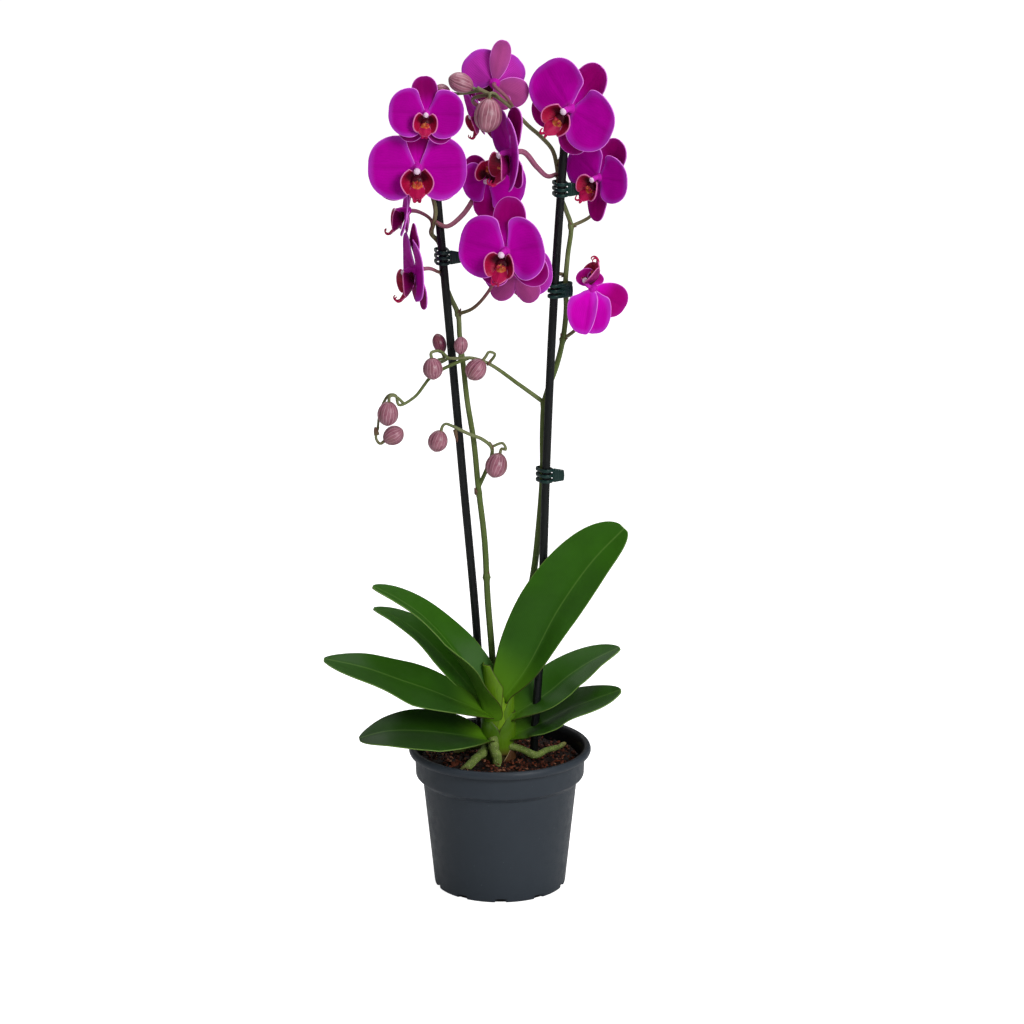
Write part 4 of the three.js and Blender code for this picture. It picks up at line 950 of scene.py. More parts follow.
# %% Sticks
STICKS = dict(
  stake_left=[[-12, 28, 30], [-13, 27, 100], [-15, 24, 160], [-24, 18, 272], [-33, 16, 379], [-41, 16, 471]],
  stake_right=[
    [21, 0, 30], [23, 4, 100], [27, 9, 165], [29, 10, 234], [31, 10, 301], [35, 10, 394], [42, 10, 505],
  ],
)
STICK = dict(radius=2.7, rows=120, sides=28, dome=[0.8, 1.6, 2.2], dome_radius=[0.95, 0.8, 0.5])


def stick_patch(points):
    """A round tube along the bowed path, with three smaller rings that dome its top end."""
    path = smooth_path(points, STICK["rows"])
    ends = np.vstack([path, path[-1] + np.outer(STICK["dome"], unit(path[-1] - path[-2]))])
    radius = STICK["radius"] * np.concatenate([np.ones(STICK["rows"]), STICK["dome_radius"]])
    return tube(ends, radius, STICK["sides"])


print("sticks:", len(STICKS))

# %% [markdown]
# The coating is nearly black with a green cast. Long faint fibres show through it, which a veins group
# gives when its lines run round the stick and its waves run many times along it.

# %% Stick coating
coating, tree, shader = material("stick_coating", specular_ior_level=0.3)
spot, (u, v) = position(tree), on_surface(tree)
fibre = veined(tree, u, times(tree, v, 40.0), 14.0, 0.25, 0.6)
base = coated(tree, mottled(tree, spot, colour(8, 12, 13), 150.0, 0.4), (fibre, 0.2, (26, 36, 38)))
dress(tree, shader, base, spot, (1200.0, 0.4, 0.25), 0.08, fibre)
for name, points in STICKS.items():
    piece(f"{name}_stick", [stick_patch(points)], coating, [name])
print("sticks dressed:", made)

# %% [markdown]
# ## The flower frames
# Every bloom is the same flower, seen from another side. Its frame has three directions, the flower's
# right, its up and the way that it faces, and its size. The yaw and pitch aim it, the roll turns it like a
# wheel.

# %% Where the blooms are
# A bloom's depth is painted light and shade: its front colour times it, below 1 for a shaded bloom, above 1
# for a lit one.
BLOOMS = [
  dict(at=[-46, -15, 519], yaw=0, pitch=8, roll=-4, size=0.76, cup=1.5, depth=0.88,
    petal=dict(turns=[-90, 88]), dorsal=dict(turns=[-8]),
    spike="spike_left", stalk=[[-44, 10, 466], [-46, 11, 490], [-47, 6, 508]]),
  dict(at=[-52, -8, 483], yaw=0, pitch=3, roll=0, size=1.0,
    petal=dict(turns=[-88, 88]), lateral=dict(turns=[-124, 124]),
    spike="spike_left", stalk=[[-42, 9, 460], [-46, 9, 471]]),
  dict(at=[-60, 17, 451], yaw=-86, pitch=6, roll=0, size=0.82, lateral=dict(scales=[[0.6, 1], [0.6, 1]]),
    spike="spike_left", stalk=[[-43.5, 17, 436], [-44, 20, 444]]),
  dict(at=[-54, -2, 416], yaw=-76, pitch=-3, roll=0, size=0.97,
    spike="spike_left", stalk=[[-37.5, 22, 409], [-40, 12, 412]]),
  dict(at=[4, -18, 431], yaw=-20, pitch=3, roll=-5, size=1.0, depth=1.07,
    petal=dict(turns=[-84, 70], scales=[[1, 1], [0.85, 1]]), dorsal=dict(scales=[[1.14, 1]]),
    lateral=dict(turns=[-152, 116], scales=[[0.85, 1], [1.1, 1]]),
    spike="spike_left", stalk=[[-27, 21, 382], [-17, 12, 388], [-7, 3, 401], [2, -4, 420]]),
  dict(at=[11, 10, 411], yaw=160, pitch=-10, roll=0, size=0.75, cup=1.5,
    spike="spike_right", stalk=[[43, 16, 409], [37, 18, 409.5], [30, 14, 410], [20, 3, 411]]),
  dict(at=[-8, 16, 471], yaw=-8, pitch=-5, roll=180, lipRoll=-20, size=0.85, ripe=1,
    petal=dict(scales=[[0.95, 1], [0.6, 0.75]]), lateral=dict(scales=[[0.7, 0.8], [0.75, 0.8]]),
    spike="spike_left", stalk=[[-41, 9, 445], [-34, 9.5, 442], [-24, 16, 448], [-15, 23, 460]]),
  dict(at=[7, -4, 492], yaw=-66, pitch=0, roll=0, size=1.0, cup=1.6, ripe=1,
    petal=dict(turns=[-30, 86], scales=[[0.9, 0.7], [0.6, 1.15]]),
    dorsal=dict(turns=[18]), lateral=dict(turns=[-140, 150], scales=[[0.6, 0.8], [0.8, 0.9]]),
    spike="spike_right", stalk=[[37.5, 17, 475], [31, 12.5, 474], [24, 6, 481]]),
  dict(at=[-3, 8, 535], yaw=180, pitch=5, roll=12, size=1.0, cup=2,
    petal=dict(turns=[-40, 58], scales=[[0.66, 0.6], [0.74, 0.66]]),
    lateral=dict(turns=[-104, -144], scales=[[0.78, 0.9], [0.62, 0.5]]), dorsal=dict(scales=[[0.92, 0.6]]),
    spike="spike_right", stalk=[[10, 0, 517.5], [5, -4, 527]]),
  dict(at=[-14, 37.5, 511], yaw=-70, pitch=-20, roll=0, size=0.72,
    petal=dict(scales=[[0.75, 0.85], [0.75, 0.85]]),
    spike="spike_right", stalk=[[-6, -6.5, 530], [-16, 3, 526], [-16, 18, 520]]),
  dict(at=[45, -8, 521], yaw=-30, pitch=0, roll=-38, size=1.02, depth=1.12,
    petal=dict(turns=[-72, 76], scales=[[1.04, 1], [1.04, 0.98]]), dorsal=dict(scales=[[1.12, 1]]),
    spike="spike_right", stalk=[[37, 17, 480], [44, 18, 496], [52, 10, 513]]),
  dict(at=[63.5, 6, 474.5], yaw=-40, pitch=0, roll=-28, size=0.85,
    petal=dict(turns=[-80, 62], scales=[[1, 1], [0.9, 0.9]]), dorsal=dict(turns=[8], scales=[[1.15, 1.1]]),
    lateral=dict(turns=[-138, 160], scales=[[1, 1], [1.2, 0.85]]),
    spike="spike_right", stalk=[[46, 20, 440], [58, 21, 446], [70, 20, 460]]),
  dict(at=[59, -4, 405], yaw=0, pitch=10, roll=0, size=0.85, depth=1.25, lipTilt=-38, lipYaw=-70,
    lipRoll=172,
    petal=dict(turns=[-171, 175], scales=[[1.15, 0.78], [1.12, 0.66]], lower=[0.42, 1], lifts=[1.0, -0.1]),
    dorsal=dict(turns=[122], scales=[[0.95, 1.2]]),
    lateral=dict(turns=[-30, 24], scales=[[0.5, 0.7], [0.4, 0.6]]),
    spike="spike_right", stalk=[[41, 18, 366], [50, 16, 374], [56, 13, 390]]),
]
print("blooms:", len(BLOOMS))

# %% [markdown]
# Buds sit on the ends of the branches. Each has the place of its middle, the way that its tip points, half
# its length, half its width, and the points that its stalk passes.

# %% Where the buds are
BUDS = [
  dict(at=[-24, -6, 537], tip=[-0.9, -0.1, 0.4], long=8, wide=6.3,
    spike="spike_right", stalk=[[-10, -7, 532]]),
  dict(at=[-36, 0, 531], tip=[-0.9, 0, 0.2], long=5, wide=4.4,
    spike="spike_right", stalk=[[-11, -7, 532.5], [-22, 3, 529]]),
  dict(at=[-7, -13, 518], tip=[-0.1, -0.1, -1], long=10.4, wide=8.8,
    spike="spike_right", stalk=[[0, -5, 527], [-3, -10, 531]]),
  dict(at=[-39, 22, 362], tip=[-0.3, 0.3, 0.9], long=6.5, wide=4.4, ripe=1,
    spike="spike_right", stalk=[[-33, 2, 357], [-38, 8, 353], [-40, 15, 353]]),
  dict(at=[-25, 3, 365], tip=[0.1, 0, 1], long=5.6, wide=4.5,
    spike="spike_right", stalk=[[-25, 2, 357]]),
  dict(at=[-43, -9, 353], tip=[0.1, -0.1, -1], long=6.9, wide=6.4,
    spike="spike_right", stalk=[[-33, 2, 357], [-38, -2, 362.5]]),
  dict(at=[-15, -3, 351], tip=[-0.6, -0.1, -0.8], long=7.3, wide=6.7,
    spike="spike_right", stalk=[[-7, 4, 353], [-3, 1, 360], [-7, -2, 362]]),
  dict(at=[-72, -8, 323], tip=[-0.1, 0, -1], long=7.8, wide=6.8,
    spike="spike_right", stalk=[[-62, -5.5, 329], [-66, -6, 333], [-69, -7, 334.5]]),
  dict(at=[-69, -4, 307], tip=[0.8, 0, 0.5], long=6.9, wide=6.2,
    spike="spike_right", stalk=[[-78.8, 0, 312], [-80, -3, 305]]),
  dict(at=[-40, 3, 302], tip=[-0.3, -0.1, -0.95], long=7, wide=6.4,
    spike="spike_left", stalk=[[-30, 5, 311], [-35, 4, 313]]),
  dict(at=[-2, 6, 285], tip=[-0.3, -0.2, -0.95], long=8, wide=7.2,
    spike="spike_left", stalk=[[-6, 9, 296], [2, 8, 299], [4, 7, 295]]),
]
print("buds:", len(BUDS))

# %% [markdown]
# An object could be turned into place, but every object here stays at the origin, so the turn is done to
# the points. A matrix whose columns are the flower's three directions takes a point in the flower's own
# millimetres to its place on the plant.

# %% A flower's own frame
def flower_frame(bloom, lip=False):
    """(3 x 3 matrix whose columns are right, up and facing, all times the size; the hub's place). The lip's
    is tilted like a wheel, turned to the side, and rolled about the way that it then faces."""
    yaw, pitch, roll = np.radians([bloom["yaw"], bloom["pitch"], bloom["roll"]])
    face = np.array([np.sin(yaw) * np.cos(pitch), -np.cos(yaw) * np.cos(pitch), np.sin(pitch)])
    up = unit(UP - (UP @ face) * face)
    right = np.cross(up, face)
    cos, sin = np.cos(roll), np.sin(roll)
    axes = np.stack([right * cos + up * sin, up * cos - right * sin, face], 1)
    if lip:
        for key, axis in (("lipTilt", "Z"), ("lipYaw", "Y"), ("lipRoll", "Z")):
            axes = axes @ np.array(Matrix.Rotation(np.radians(bloom.get(key, 0)), 3, axis))
    return axes * bloom["size"], np.array(bloom["at"], float)


def in_frame(points, frame_at):
    """Points given in a flower's own millimetres, put where that flower is."""
    axes, at = frame_at
    return np.asarray(points) @ axes.T + at


print("first hub:", flower_frame(BLOOMS[0])[1])

# %% [markdown]
# ## The spikes
# A flower spike is a wiry stem that thins towards its tip. Where a branch or a flower stalk leaves it there
# is a ring-like node with a small papery bract. It could be skinned from a wire skeleton, but tubes with a
# known radius keep the joints tidy: a branch starts inside its parent and a swelling covers the start.

# %% Routes of the spikes
SPIKES = dict(
  spike_left=dict(
    main=dict(radius=[2.3, 1.4], path=[
      [-4, 9, 120], [-5, 11, 152], [-8, 12, 192], [-10, 13, 232], [-14, 12.5, 268], [-17, 12, 300],
      [-21, 11, 326], [-24, 14, 353], [-26, 18, 369], [-27, 21, 382], [-32, 23.5, 393], [-37, 24.6, 407],
      [-38.9, 22.3, 428], [-44, 17.5, 436], [-42.5, 11, 443], [-41, 8.5, 452], [-44, 10, 466],
    ]),
    branches=[
      dict(radius=[1.4, 1.1],
        path=[[-14, 12.5, 268], [-8, 12, 282], [-5, 9, 295], [-11, 6, 302], [-20, 5, 306], [-30, 5, 311]]),
    ],
    nodes=[[-9, 12.5, 207], [-15, 12.5, 264], [-27, 21, 382], [-5, 9, 296]],
    bracts=[dict(at=[-29, 5, 309], tip=[0.2, -0.3, -1], long=4.5, wide=1.4)],
  ),
  spike_right=dict(
    main=dict(radius=[2.5, 1.2], path=[
      [4, 9, 112], [13, 18, 162], [22, 18, 207], [26, 16, 245], [28, 14, 277], [28, 15, 306],
      [29, 17, 324], [32, 20, 334], [37, 21, 348], [41, 18, 366], [43, 16, 386], [42.5, 14.5, 404],
      [44, 18, 422], [46, 20, 440], [43, 19, 450], [39, 16.5, 461], [38, 16.5, 468], [37, 17, 478],
      [34, 17, 490], [26, 13, 500], [19, 7, 507], [13, 2, 514], [7, -2, 521], [0, -5, 527],
      [-8, -7, 531], [-14, -7, 534],
    ]),
    branches=[
      dict(radius=[1.5, 1.0],
        path=[[29, 17, 324], [13, 12, 337], [-7, 4, 353], [-18, 3, 357], [-26, 2, 357], [-33, 2, 357]]),
      dict(radius=[1.2, 0.8], path=[
        [-20, 3, 357], [-33, 1, 352], [-44, 0, 345.5], [-55, -3, 332.5], [-65, -6, 328], [-67, -5, 334],
        [-71, -3, 334], [-75, 1, 328], [-78, 1.5, 319], [-79, -1, 310],
      ]),
    ],
    nodes=[[29, 17, 323], [46, 20, 440], [-7, 4, 353], [41, 18, 366]],
    bracts=[dict(at=[-79.5, -2, 307], tip=[-0.2, 0, 1], long=3.2, wide=1.8)],
  ),
)
print("spikes:", {name: len(spike["nodes"]) for name, spike in SPIKES.items()})

# %% [markdown]
# Each kind of stalk has its own step from ring to ring, its sides and its hues at foot and tip. Nodes get a
# swelling and a bract.

# %% Stalks, nodes and bracts
TUBES = dict(main=dict(step=1.6, sides=16, hue=(0, 0.6)), branch=dict(step=1.2, sides=12, hue=(0.3, 0.55)),
             flower=dict(step=1.1, sides=16), bud=dict(step=0.9, sides=12, hue=(0.42, 0.56)))
SWELL = dict(more=0.75, width=1.5)
BRACT = dict(half=0.3, hue=0.35, off=0.9, lean=(0.5, 0.9), hug=0.35, tip=0.7, belly=0.6, dry=(0.55, 0.45),
             node=(5.5, 2.2), stalk=(4, 1.5))
HUB = dict(radius=3.7, depth=3.2, level=-1.2)
STALK = dict(
    behind=9, girth=[1.25, 1.1, 1.2, 1.5], ripening=[0.1, 0.55, 0.65, 0.3], hue=(0.6, 1.1), ripe_hue=0.25,
    bud_behind=3, bud_seat=0.9, bud_girth=(1.0, 0.9, 1.1),
)


def stalk_patch(points, radius, step, sides, hue, nodes=()):
    """A tube with a radius that runs through the given values, plus a small ring-shaped swelling,
    more exp(-(d / width)^2), at distance d from each node."""
    rough = np.linalg.norm(np.diff(np.asarray(points, float), axis=0), axis=1).sum()
    count = max(8, int(rough / step))
    path = smooth_path(points, count)
    t = np.linspace(0, 1, count)
    r = np.interp(t, np.linspace(0, 1, len(radius)), radius)
    for at in nodes:
        r = r + SWELL["more"] * bell(np.linalg.norm(path - np.array(at), axis=1), SWELL["width"])
    return tube(path, r, sides, hue=np.interp(t, [0, 1], hue))


def bract_patch(at, tip, out, long, wide):
    """A pointed scale that hugs its stalk: w(s) sideways, curved round the stalk by the square of w, and
    leaning out towards its tip."""
    along, out = unit(np.array(tip, float)), np.array(out, float)
    out = unit(out - (out @ along) * along)
    side = np.cross(out, along)
    s, t = np.linspace(0, 0.99, 12)[:, None], np.linspace(-1, 1, 9)[None]
    w = wide * (1 - s) ** BRACT["tip"] * (1 + BRACT["belly"] * s)
    lean, curve = BRACT["lean"]
    off = BRACT["off"] + lean * s + curve * s**2 - BRACT["hug"] * (w * t) ** 2 / wide
    surface = np.array(at) + (long * s + 0 * t)[..., None] * along
    surface = surface + (w * t)[..., None] * side + off[..., None] * out
    edge = np.minimum((1 - np.abs(t)) * w, (1 - s) * long)
    half = BRACT["half"] * np.sqrt(np.clip(edge, 0, 1))
    return blade(surface, half, s, t, hue=BRACT["hue"], dry=BRACT["dry"][0] + BRACT["dry"][1] * s)


def at_height(points, z):
    """The point of a rising path that is nearest to that height."""
    path = smooth_path(points, 600)
    return path[np.argmin(np.abs(path[:, 2] - z))]


print("kinds of stalk:", list(TUBES))

# %% [markdown]
# Now each spike gets its main stalk and branches, a bract at each node, and the stalks of its blooms and
# buds. A flower's stalk ends behind the flower's hub, so it leads there through a point straight behind it,
# and a ripe one is thicker.

# %% Put the spikes together
spike_parts = {name: [] for name in SPIKES}
for name, spike in SPIKES.items():
    parts, main = spike_parts[name], spike["main"]
    parts.append(stalk_patch(main["path"], main["radius"], nodes=spike["nodes"], **TUBES["main"]))
    for branch in spike["branches"]:
        parts.append(stalk_patch(branch["path"], branch["radius"], **TUBES["branch"]))
    for k, node in enumerate(spike["nodes"]):
        out = [(-1) ** k * 0.8, -0.7, 0.1]
        parts.append(bract_patch(np.array(node) - UP, [0.05, 0, 1], out, *BRACT["node"]))
    for bract in spike["bracts"]:
        parts.append(bract_patch(bract["at"], bract["tip"], [0, -1, 0.2], 2 * bract["long"], bract["wide"]))
for bloom in BLOOMS:
    parts, ripe = spike_parts[bloom["spike"]], bloom.get("ripe", 0)
    ends = in_frame([[0, 0, -STALK["behind"]], [0, 0, HUB["level"]]], flower_frame(bloom))
    route = np.array([*bloom["stalk"], *ends])
    girth = np.array(STALK["girth"]) + ripe * np.array(STALK["ripening"])
    hue = (STALK["hue"][0] + STALK["ripe_hue"] * ripe, STALK["hue"][1])
    parts.append(stalk_patch(route, girth, hue=hue, **TUBES["flower"]))
    heading = unit(route[1] - route[0])
    parts.append(bract_patch(route[0] - 0.4 * heading, heading, [0, -0.6, -1], *BRACT["stalk"]))
for bud in BUDS:
    at, tip = np.array(bud["at"]), unit(np.array(bud["tip"], float))
    ends = at - np.outer([bud["long"] + STALK["bud_behind"], STALK["bud_seat"] * bud["long"]], tip)
    parts = spike_parts[bud["spike"]]
    parts.append(stalk_patch([*bud["stalk"], *ends], STALK["bud_girth"], **TUBES["bud"]))
print("spike parts:", {name: len(parts) for name, parts in spike_parts.items()})

# %% [markdown]
# The spike is olive green low down and turns brownish purple towards the flowers, whose own stalks are
# almost pink. Each tube carries a number, its hue, that a ramp turns into these colours. Bracts dry to
# brown.

# %% Spike finish
spike_skin, tree, shader = material("spike_skin", specular_ior_level=0.3)
spot, (u, v) = position(tree), on_surface(tree)
hue = math(tree, "ADD", "hue", swing(tree, noise(tree, spot, 45.0, 4.0), 0.5))
shade = ramp(tree, hue, {0.0: (80, 104, 42), 0.36: (96, 110, 56), 0.5: (128, 136, 92), 0.68: (114, 98, 72),
                         0.86: (140, 86, 92), 1.0: (170, 98, 130)})
dots = speckled(tree, spot, 1100.0, 0.3)["Mask"]
streak = times(tree, between(tree, hue, 0.75, 1.0), veined(tree, u, v, 7.0, 0.15, 0.8))
base = coated(tree, mottled(tree, spot, shade, 300.0, 0.3), (dots, 0.3, (70, 52, 48)),
              ("dry", 1, (120, 78, 70)), (streak, 0.45, (118, 36, 78)))
fibre = veined(tree, u, times(tree, v, 12.0), 9.0, 0.12, 0.7)
dress(tree, shader, base, spot, (1500.0, 0.48, 0.15), 0.08, fibre)
for name, parts in spike_parts.items():
    piece(f"{name}_stalks", parts, spike_skin, [name])
print("spikes dressed:", made)

# %% [markdown]
# ## The clips
# A spring clip has three curved prongs that close round stick and stalk, and a ribbed tab to squeeze. Each
# prong is a closed loop: a rounded bar carried along a stadium, the outline of two half circles joined by
# straight sides.

# %% Clips
CLIPS = [("stake_left", "spike_left", 420.5), ("stake_right", "spike_right", 466),
         ("stake_right", "spike_right", 400), ("stake_right", "spike_right", 277)]
CLIP = dict(bore=3.5, band=1.1, height=2.1, pitch=3.6, tab=8, tab_thickness=2.2, tab_squareness=0.35,
            ribs=5, rib_height=0.09, tab_taper=0.22, end_squareness=14)


def rounded_bar(a, sharp=0.5):
    """A ring of points on a rounded square, the sine and cosine raised to a power with their signs kept."""
    c, s = np.cos(a), np.sin(a)
    return np.sign(c) * np.abs(c) ** sharp, np.sign(s) * np.abs(s) ** sharp


def loop_patch(centre, reach, turn, z, steps=18, sides=16):
    """A rounded bar carried round a stadium whose two centres are reach apart."""
    half = np.concatenate([np.linspace(low, low + np.pi, steps) for low in (np.pi / 2, -np.pi / 2)])
    heart = np.repeat([0.0, reach], steps)
    out = grid(np.cos(half), np.sin(half), 0)
    middle = grid(heart, 0, 0) + out * (CLIP["bore"] + CLIP["band"] / 2)
    across, high = rounded_bar(full_turn(sides))
    ring = across[None, :, None] * out[:, None] * CLIP["band"] / 2
    ring = ring + high[None, :, None] * UP * CLIP["height"] / 2
    c, s = np.cos(turn), np.sin(turn)
    points = (middle[:, None] + ring) @ np.array([[c, s, 0], [-s, c, 0], [0, 0, 1]]) + [*centre[:2], z]
    faces = quads(2 * steps + 1, sides, around=True) % (2 * steps * sides)
    return patch(points, [faces[:, ::-1]])


def tab_patch(stick, z, rows=40, sides=20):
    """A bar along +X of rounded section, with ribs across it: its height and width swell by a sine."""
    x = np.concatenate([[0], np.linspace(0, 1, rows), [1]])
    span = CLIP["pitch"] * 2 + CLIP["height"]
    full = np.sqrt(np.clip(1 - np.abs(2 * x[1:-1] - 1) ** CLIP["end_squareness"], 0, 1)) * 0.98 + 0.02
    ends = np.concatenate([[0], full, [0]])
    ribs = 1 + CLIP["rib_height"] * np.sin(x * 2 * np.pi * CLIP["ribs"])
    across, high = rounded_bar(full_turn(sides), CLIP["tab_squareness"])
    y = across[None] * CLIP["tab_thickness"] / 2 * (ends * ribs)[:, None]
    h = high[None] * (span / 2) * (ends * (1 - CLIP["tab_taper"] * np.sin(x * np.pi / 2) ** 2))[:, None]
    start = stick[0] + CLIP["bore"] + CLIP["band"] / 2
    return closed_turn(grid(start + CLIP["tab"] * x[:, None], stick[1] + y, z + h))


print("clips:", len(CLIPS))

# %% [markdown]
# The clips are dark green plastic, a little glossier than the pot. A clip closes round its stick and, at
# the same height, round the spike, so its loops are turned to lead from one to the other.

# %% Clip plastic
clip_plastic, tree, shader = material("clip_plastic", specular_ior_level=0.4)
spot = position(tree)
dress(tree, shader, mottled(tree, spot, colour(6, 46, 42), 180.0, 0.35), spot, (1300.0, 0.34, 0.15), 0.05)
for k, (stick_name, spike_name, z) in enumerate(CLIPS):
    stick = at_height(STICKS[stick_name], z)
    stalk = at_height(SPIKES[spike_name]["main"]["path"], z)
    gap = (stalk - stick)[:2]
    loops = [loop_patch(stick, np.linalg.norm(gap), np.arctan2(gap[1], gap[0]), z + step * CLIP["pitch"])
             for step in (-1, 0, 1)]
    piece(f"spring_clip_{k + 1}", [*loops, tab_patch(stick, z)], clip_plastic, [f"clip_{k + 1}"])
print("clips dressed:", made)

# %% [markdown]
# ## The tepals
# A bloom has three narrow sepals behind and two broad petals in front. All five are one formula with other
# numbers: a width that grows and shrinks along the tepal as s^a (1-s)^b, a tip that is drawn back at its
# sides on the kidney-shaped petals, and a lift that rises, bends and cups. Two soft waves near the margin,
# different in each tepal, take away the stamped look. The margin's distance goes with each point, because
# the real petals have a pale thread just there.

# %% Tepal surfaces
TEPAL = dict(
    dorsal=dict(turns=[0], reach=30, half=11, root=1.2, level=-1.5, rise=-1.5, bend=1.5, cup=1.2, pull=0,
                a=0.7, b=0.45, wave=0.5),
    lateral=dict(turns=[-138, 138], reach=28, half=11, root=1.2, level=-1.7, rise=-1.5, bend=1, cup=1.2,
                 pull=0, a=0.7, b=0.5, wave=0.5),
    petal=dict(turns=[-80, 80], reach=30.5, half=20.5, root=1.0, level=-0.3, rise=3.4, bend=-2, cup=1.5,
               pull=0.24, a=0.72, b=0.42, wave=0.9),
)
TISSUE = dict(thickness=0.9, margin=0.7, start=0.004, reach=0.993, crowding=1.15, shield=0.34, ripple=0.5,
              groove=0.45, groove_width=0.9, waves=[(1, 6, 1.4), (0.5, 12, -2)])
GRIDS = dict(sepal=(34, 21), petal=(42, 33))


def tepal_patch(form, k, bloom, frame_at, seed, sepal):
    """Points (out sin + t w cos, out cos - t w sin, lift) about the turn, where out = root + reach (s - pull
    t^2 sin(pi s)), w = half s^a (1-s)^b over its peak, and lift = level + rise s + bend s^2
    + cup (t w / half)^2 + waves. The half that faces the dorsal sepal is drawn back less near the hub, so
    that the sepal shows."""
    cup = bloom.get("cup", 1)
    turn, (long, wide) = form["turns"][k], form.get("scales", [[1, 1]] * 2)[k]
    lower, level = form.get("lower", [1, 1])[k], form["level"] + form.get("lifts", [0, 0])[k]
    rows, columns = GRIDS["sepal" if sepal else "petal"]
    s = TISSUE["start"] + TISSUE["reach"] * foot_to_tip(rows, TISSUE["crowding"])[:, None]
    t = -side_to_side(columns)[None]
    a, b, reach = form["a"], form["b"], long * form["reach"]
    crest = a / (a + b)
    width = wide * form["half"] * s**a * (1 - s) ** b / (crest**a * (1 - crest) ** b)
    upper = -np.sign(turn) * t > 0
    width = width * np.where(upper, 1, lower)
    w = t * width
    pull = form["pull"] * t * t * (1 - upper * bell(s, TISSUE["shield"]))
    out = form["root"] + reach * (s - pull * np.sin(np.pi * s))
    rise = form["rise"] * (cup if form["rise"] > 0 else 1)
    phases = np.random.default_rng(seed).uniform(0, 2 * np.pi, 4)
    waves = soft_waves(TISSUE["waves"], s, t, phases[:2])
    lift = level + rise * s + form["bend"] * s * s + form["cup"] * cup * (w / form["half"]) ** 2
    lift = lift + form["wave"] * t * t * np.sin(np.pi * s) ** 0.5 * waves
    ripple = TISSUE["ripple"] * np.sin(5 * s + phases[2]) * np.sin(1.5 * w / form["half"] + phases[3])
    lift = lift + ripple * s
    lift = lift - TISSUE["groove"] * bell(w, TISSUE["groove_width"]) * np.sin(np.pi * s)
    cos, sin = np.cos(np.radians(turn)), np.sin(np.radians(turn))
    points = in_frame(grid(out * sin + w * cos, out * cos - w * sin, lift), frame_at)
    slope = np.gradient(width, s[:, 0], axis=0)
    edge = (1 - np.abs(t)) * width / np.sqrt(1 + (t * slope / reach) ** 2)
    edge = np.minimum(edge, (1 - s) * reach)
    half = 0.5 * TISSUE["thickness"] * quarter_round(edge, TISSUE["margin"])
    # depth goes with the points as the bloom's painted light and shade.
    return blade(points, half, s, t, edge=edge, foot=s, sepal=float(sepal), depth=bloom.get("depth", 1))


print("tepal kinds:", list(TEPAL))

# %% [markdown]
# The hub, the anther cap and the buds are eggs: a ball whose length, width and fatness can differ, with
# seams where a bud's sepals meet. Between hub and cap stands the column, a short tube.

# %% Eggs and columns
COLUMN = dict(path=[[0, 0, -1.2], [0, 0.4, 3.75], [0, -1, 7.4]], heights=[0, 0.3, 0.75, 1],
              radius=[2.5, 2.0, 1.9, 2.2], rings=18, sides=18)
CAP = dict(at=[0, -1.1, 7.9], axis=[0, -0.25, 1], long=1.7, wide=2.15, fat=-0.1)


def ball_patch(centre, axis, long, wide, rows, columns, grooves=0, groove=0.0, point=0.0, fat=0.0, **values):
    """An egg about an axis: along it -long cos(q), across it wide sin(q) (1 + fat cos(q)), with grooves that
    pull the radius in at even angles, and a tip drawn out by point q^6."""
    q = np.linspace(0, np.pi, rows)[:, None]
    a = full_turn(columns)[None]
    axis = unit(np.array(axis, float))
    side = unit(np.cross(axis, [0.3, 0.8, 0.5]))
    up = np.cross(axis, side)
    across = wide * np.sin(q) * (1 + fat * np.cos(q))
    if grooves:
        away = (a * grooves / (2 * np.pi) + 0.5) % 1 - 0.5
        across = across * (1 - groove * bell(away, 0.06) * np.sin(q))
    high = -long * np.cos(q) + point * long * (q / np.pi) ** 6 + 0 * a
    points = np.array(centre) + high[..., None] * axis
    points = points + (across * np.cos(a))[..., None] * side + (across * np.sin(a))[..., None] * up
    return closed_turn(points, grid(a / (2 * np.pi), q / np.pi), **values)


def column_patches(frame_at):
    """The hub, the column as a tube that narrows and widens again, and the anther cap at its end."""
    axes = frame_at[0]
    size = np.linalg.norm(axes[:, 2])
    hub = ball_patch(in_frame([0, 0, HUB["level"]], frame_at), axes[:, 2], HUB["depth"] * size,
                     HUB["radius"] * size, 14, 20, column=1.0)
    up = np.linspace(0, 1, COLUMN["rings"])
    path = in_frame(smooth_path(COLUMN["path"], COLUMN["rings"]), frame_at)
    radius = size * np.interp(up, COLUMN["heights"], COLUMN["radius"])
    column = tube(path, radius, COLUMN["sides"], column=np.linspace(1, 0.9, COLUMN["rings"]))
    cap = ball_patch(in_frame(CAP["at"], frame_at), axes @ CAP["axis"], CAP["long"] * size,
                     CAP["wide"] * size, 12, 18, fat=CAP["fat"], column=1.0, cap=1.0)
    return [hub, column, cap]


print("column points:", len(COLUMN["path"]))

# %% [markdown]
# Now each bloom gets its five tepals and its column. The seed of a tepal comes from the bloom's number and
# its kind, so that each waves in its own way, and in the same way each time.

# %% Put the flowers together
petal_parts = []
for number, bloom in enumerate(BLOOMS):
    frame_at = flower_frame(bloom)
    parts = column_patches(flower_frame(bloom, lip=True))
    for kind, unit_form in TEPAL.items():
        form = {**unit_form, **bloom.get(kind, {})}
        for k in range(len(form["turns"])):
            seed = 100 * number + 10 * len(kind) + k
            parts.append(tepal_patch(form, k, bloom, frame_at, seed, kind != "petal"))
    petal_parts.append(parts)
print("tepals and columns for", len(petal_parts), "blooms")

